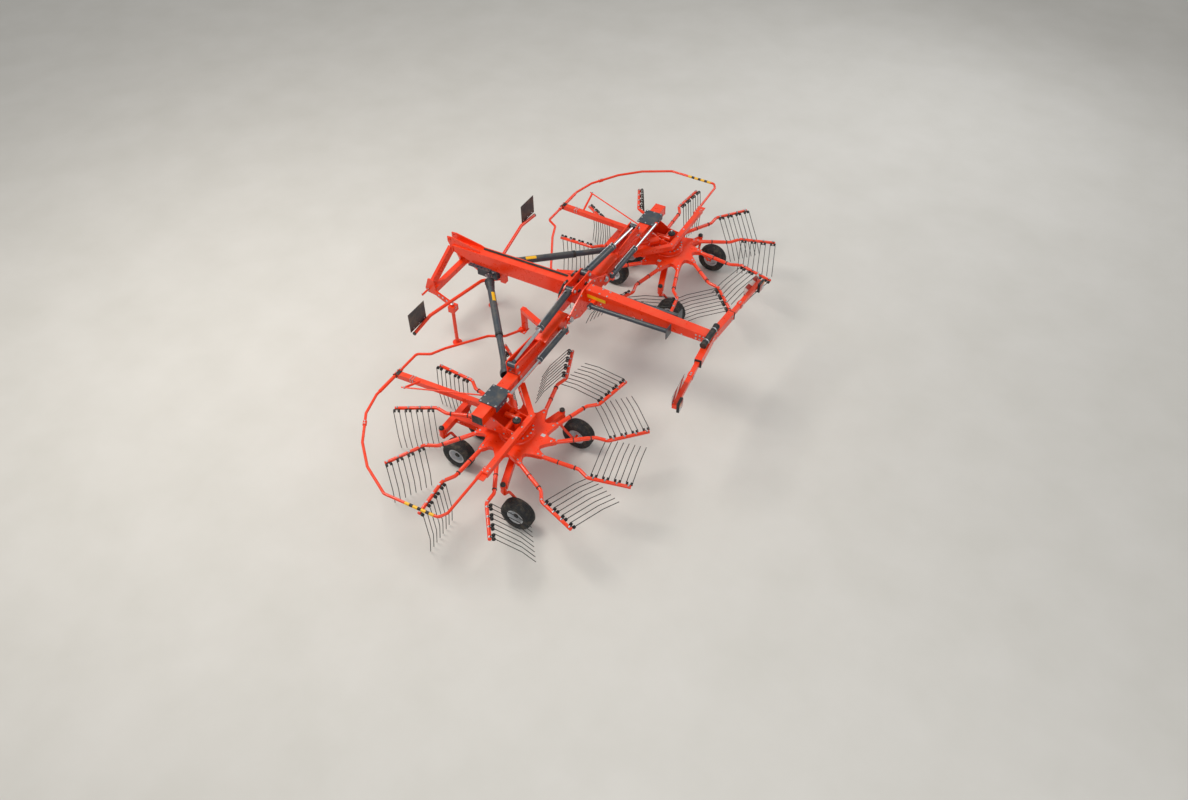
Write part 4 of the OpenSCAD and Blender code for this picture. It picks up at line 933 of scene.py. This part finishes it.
def guard_fittings(side_name, side):
    """Yellow and black bands, the hoop's clamp, straps, crank fittings, bolts and welds."""
    g = Shape(YELLOW, side)

    def rail(x):
        """A place on the hoop's outer run."""
        return vec(x, ROTOR_Y + 1575 + 15 * (x + 10) / 710, HOOP_Z)

    def beam_y(x):
        """The Y of the guard's front beam, which leads inwards to the back."""
        return ROTOR_Y - 66 * (1693 - x) / 1317

    for x in (391, 285, 180, 74):
        band(g.use(YELLOW), rail(x - 30), rail(x + 30), 18.4)
    for x in (338, 232.5, 127):
        band(g.use(BLACK), rail(x - 22.5), rail(x + 22.5), 18.2)
    way = vec(252, -388, 0).normalized()
    spot = vec(1543, ROTOR_Y + 849.5, HOOP_Z)
    band(g.use(RED), spot - way * 32, spot + way * 32, 25)
    g.use(ZINC)
    for s in (-18, 18):
        g.bolt(spot + way * s + vec(0, 0, 24), (0, 0, 1), 16)
    g.use(BLACK)
    g.block((1684, ROTOR_Y - 1, HOOP_Z + 33), (52, 76, 10), 3)
    for y in (ROTOR_Y - 46, ROTOR_Y + 40):
        band(g, (CRANK_X, y, HOOP_Z), (CRANK_X, y + 6, HOOP_Z), 33)
    g.use(ZINC)
    for x in (1460, 1494):
        y = beam_y(x)
        strap = ((y - 39, -10), (y - 39, 34), (y + 39, 34), (y + 39, -10))
        g.tube([(x, at, HOOP_Z + z) for at, z in strap], 4.5, 8)
    for x in (420, 470):
        g.bolt((x, beam_y(x), HOOP_Z + 31), (0, 0, 1), 20)
    for y in (ROTOR_Y - 108, ROTOR_Y - 22):
        for z in (HOOP_Z - 38, HOOP_Z + 38):
            g.bolt((382.3, y, z), (1, 0, 0), 18)
    g.bolt((CRANK_X, ROTOR_Y - 80, HOOP_Z + 25), (0, 0, 1), 16)
    g.bolt((CRANK_X, ROTOR_Y, HOOP_Z + 30), (0, 0, 1), 18)
    g.bolt((1373, ROTOR_Y + 276, HOOP_Z + 171), (0, 0, 1), 18)
    for y in (ROTOR_Y - 140, ROTOR_Y + 60, ROTOR_Y + 260):
        g.bolt((-122, y, HOOP_Z + 39), (0, 0, 1), 18)
    for y in (ROTOR_Y + 765, ROTOR_Y + 812):
        for x, height in ((-140, 39), (-76, 18)):
            g.bolt((x, y, HOOP_Z + height), (0, 0, 1), 16)
    g.use(RED)
    for z in (HOOP_Z - 39, HOOP_Z + 31):
        g.weld([(381, ROTOR_Y - 100, z), (381, ROTOR_Y - 32, z)])
    g.done(f"guard_fittings_{side_name}", f"slide_{side_name}", "paint")


def undercarriage_fittings(side_name, side):
    """Welds round the castor sleeves, grease nipples and the bolts of boss and axle beam."""
    u = Shape(RED, side)
    for x, y, *_ in CASTORS.values():
        for z in (CHASSIS_Z + 42, CHASSIS_Z - 41):
            u.weld(circle((x, y, z), 34.5, 30), 3)
    corners = ((100, -41), (112, -41), (112, 41))
    u.weld([(x, ROTOR_Y + y, CHASSIS_Z + 41) for x, y in corners])
    u.use(ZINC)
    for x, y, *_ in CASTORS.values():
        u.lathe([(0, 0), (4.5, 0), (4.5, 5), (2.5, 8), (3.2, 12), (0, 13)],
                aimed((x + 33, y, CHASSIS_Z + 46), (1, 0, 0)), 8)
    for k in range(8):
        a = math.pi * (k + 0.5) / 4
        clear_of_beam = abs(math.sin(a)) > 0.5 or math.cos(a) < 0
        if clear_of_beam:
            u.bolt((92 * math.cos(a), ROTOR_Y + 92 * math.sin(a), CHASSIS_Z + 50), (0, 0, 1), 18)
    for x in (300, 560, 820):
        for way in (1, -1):
            u.bolt((x, ROTOR_Y + 40 * way, CHASSIS_Z), (0, way, 0), 14)
    u.done(f"undercarriage_fittings_{side_name}", f"slide_{side_name}", "paint")


def shaft_fittings(side_name, side):
    """Ribs and collar of the shaft's guard, the cross pins' caps and a blank yellow film."""
    way = (DRIVE_REAR - DRIVE_FRONT).normalized()
    s = Shape(BLACK, side)
    for at in (88, 100, 112, 124):
        band(s, DRIVE_FRONT + way * at, DRIVE_FRONT + way * (at + 6), 64.5, 36)
    for at in (150, 172, 194, 216):
        cone_r = 59 - (at - 131) * 10.5 / 110
        band(s, DRIVE_FRONT + way * at, DRIVE_FRONT + way * (at + 7), cone_r + 2.4, 36)
    band(s, DRIVE_FRONT + way * 1012, DRIVE_FRONT + way * 1050, 51, 32)
    s.use(ZINC)
    for up_or_down in (1, -1):
        s.lathe([(0, 0), (8, 0), (8, 3), (0, 3)],
                aimed(DRIVE_FRONT + vec(0, 0, 36.4 * up_or_down), (0, 0, up_or_down)), 14)
    s.use(YELLOW)
    up = (vec(0, 0, 1) - way * way.z).normalized()
    across = way.cross(up)
    outer, inner = 49.0, 48.2
    steps = [(outer, k) for k in range(-3, 4)] + [(inner, k) for k in range(3, -4, -1)]
    arc = [(r, math.radians(9 * k + 20)) for r, k in steps]
    rings = []
    for at in (330, 480):
        middle = DRIVE_FRONT + way * at
        rings.append(s.ring([middle + r * (up * math.cos(a) - across * math.sin(a)) for r, a in arc]))
    s.loft(rings)
    s.done(f"drive_shaft_fittings_{side_name}", f"drive_outer_{side_name}", "black")


for side_name, side in SIDES.items():
    for key in CASTORS:
        wheel(side_name, side, key)
        castor_fittings(side_name, side, key)
    rotor(side_name, side)
    tines(side_name, side)
    for make in (headstock_fittings, tower_fittings, gearbox_fittings, rear_fittings, light_bar_fittings,
                 front_board_fittings, stand_fittings, boom_fittings, slide_fittings, guard_fittings,
                 undercarriage_fittings, shaft_fittings):
        make(side_name, side)


# Floor, light and camera, in metres
def floor_material():
    n = Net("pale_floor")
    colour = n.mix(n.ramp(n.noise(900, 5.0), 0.3, 0.7), linear("#d6d5d2"), linear("#d0cfcb"))
    n.drive(Base_Color=colour, Roughness=0.9)
    return n.mat


HALF_FLOOR = 40
floor_mesh = bpy.data.meshes.new("floor")
corners = [(x * HALF_FLOOR, y * HALF_FLOOR, 0) for x, y in ((-1, -1), (1, -1), (1, 1), (-1, 1))]
floor_mesh.from_pydata(corners, [], [(0, 1, 2, 3)])
floor = bpy.data.objects.new("floor", floor_mesh)
bpy.context.collection.objects.link(floor)
floor_mesh.materials.append(floor_material())

world = bpy.data.worlds.new("studio")
bpy.context.scene.world = world
world.use_nodes = True
sky = world.node_tree.nodes["Background"]
sky.inputs["Color"].default_value = linear("#f3f2ef")
sky.inputs["Strength"].default_value = 0.5


def area(name, place, aim, size, watts, colour="#ffffff"):
    """A round area lamp that shines at a point."""
    data = bpy.data.lights.new(name, "AREA")
    data.shape, data.size, data.energy, data.color = "DISK", size, watts, linear(colour)[:3]
    lamp = bpy.data.objects.new(name, data)
    lamp.location = place
    lamp.rotation_euler = (Vector(aim) - Vector(place)).to_track_quat("-Z", "Y").to_euler()
    bpy.context.collection.objects.link(lamp)


area("key", (5.0, 2.5, 10.5), (0, 0, 0.4), 5.0, 820, "#fff8ee")
area("fill", (-8.0, 8.0, 7.5), (0, 0.5, 0.4), 7.0, 300, "#f6f6f4")
area("back", (-3.0, -10.0, 7.0), (0, 0, 0.6), 6.0, 240)

# The photo's camera, as it was solved: its place in metres from the rotor axes, its angles in
# radians, and its focal length in pixels of the photo
CAMERA_AT = (-4.656, 8.440, 9.214)
AZIMUTH, ELEVATION, ROLL = math.radians(-60.63), math.radians(45.47), -0.0126468
FOCAL_PX, PHOTO_W, SENSOR_MM = 986.98, 1188, 36.0

camera_data = bpy.data.cameras.new("photo_view")
camera = bpy.data.objects.new("photo_view", camera_data)
bpy.context.collection.objects.link(camera)
ahead = vec(math.cos(ELEVATION) * math.cos(AZIMUTH), math.cos(ELEVATION) * math.sin(AZIMUTH),
            -math.sin(ELEVATION))
level = ahead.cross(vec(0, 0, 1)).normalized()
over = level.cross(ahead)
right = math.cos(ROLL) * level + math.sin(ROLL) * over
upward = -math.sin(ROLL) * level + math.cos(ROLL) * over
pose = Matrix((right, upward, -ahead)).transposed().to_4x4()
pose.translation = vec(CAMERA_AT[0] + AXIS_X / 1000, CAMERA_AT[1], CAMERA_AT[2])
camera.matrix_world = pose
camera_data.sensor_width = SENSOR_MM
camera_data.lens = FOCAL_PX / PHOTO_W * SENSOR_MM
camera_data.clip_end = 200.0
bpy.context.scene.camera = camera
bpy.context.scene.view_settings.view_transform = "Standard"
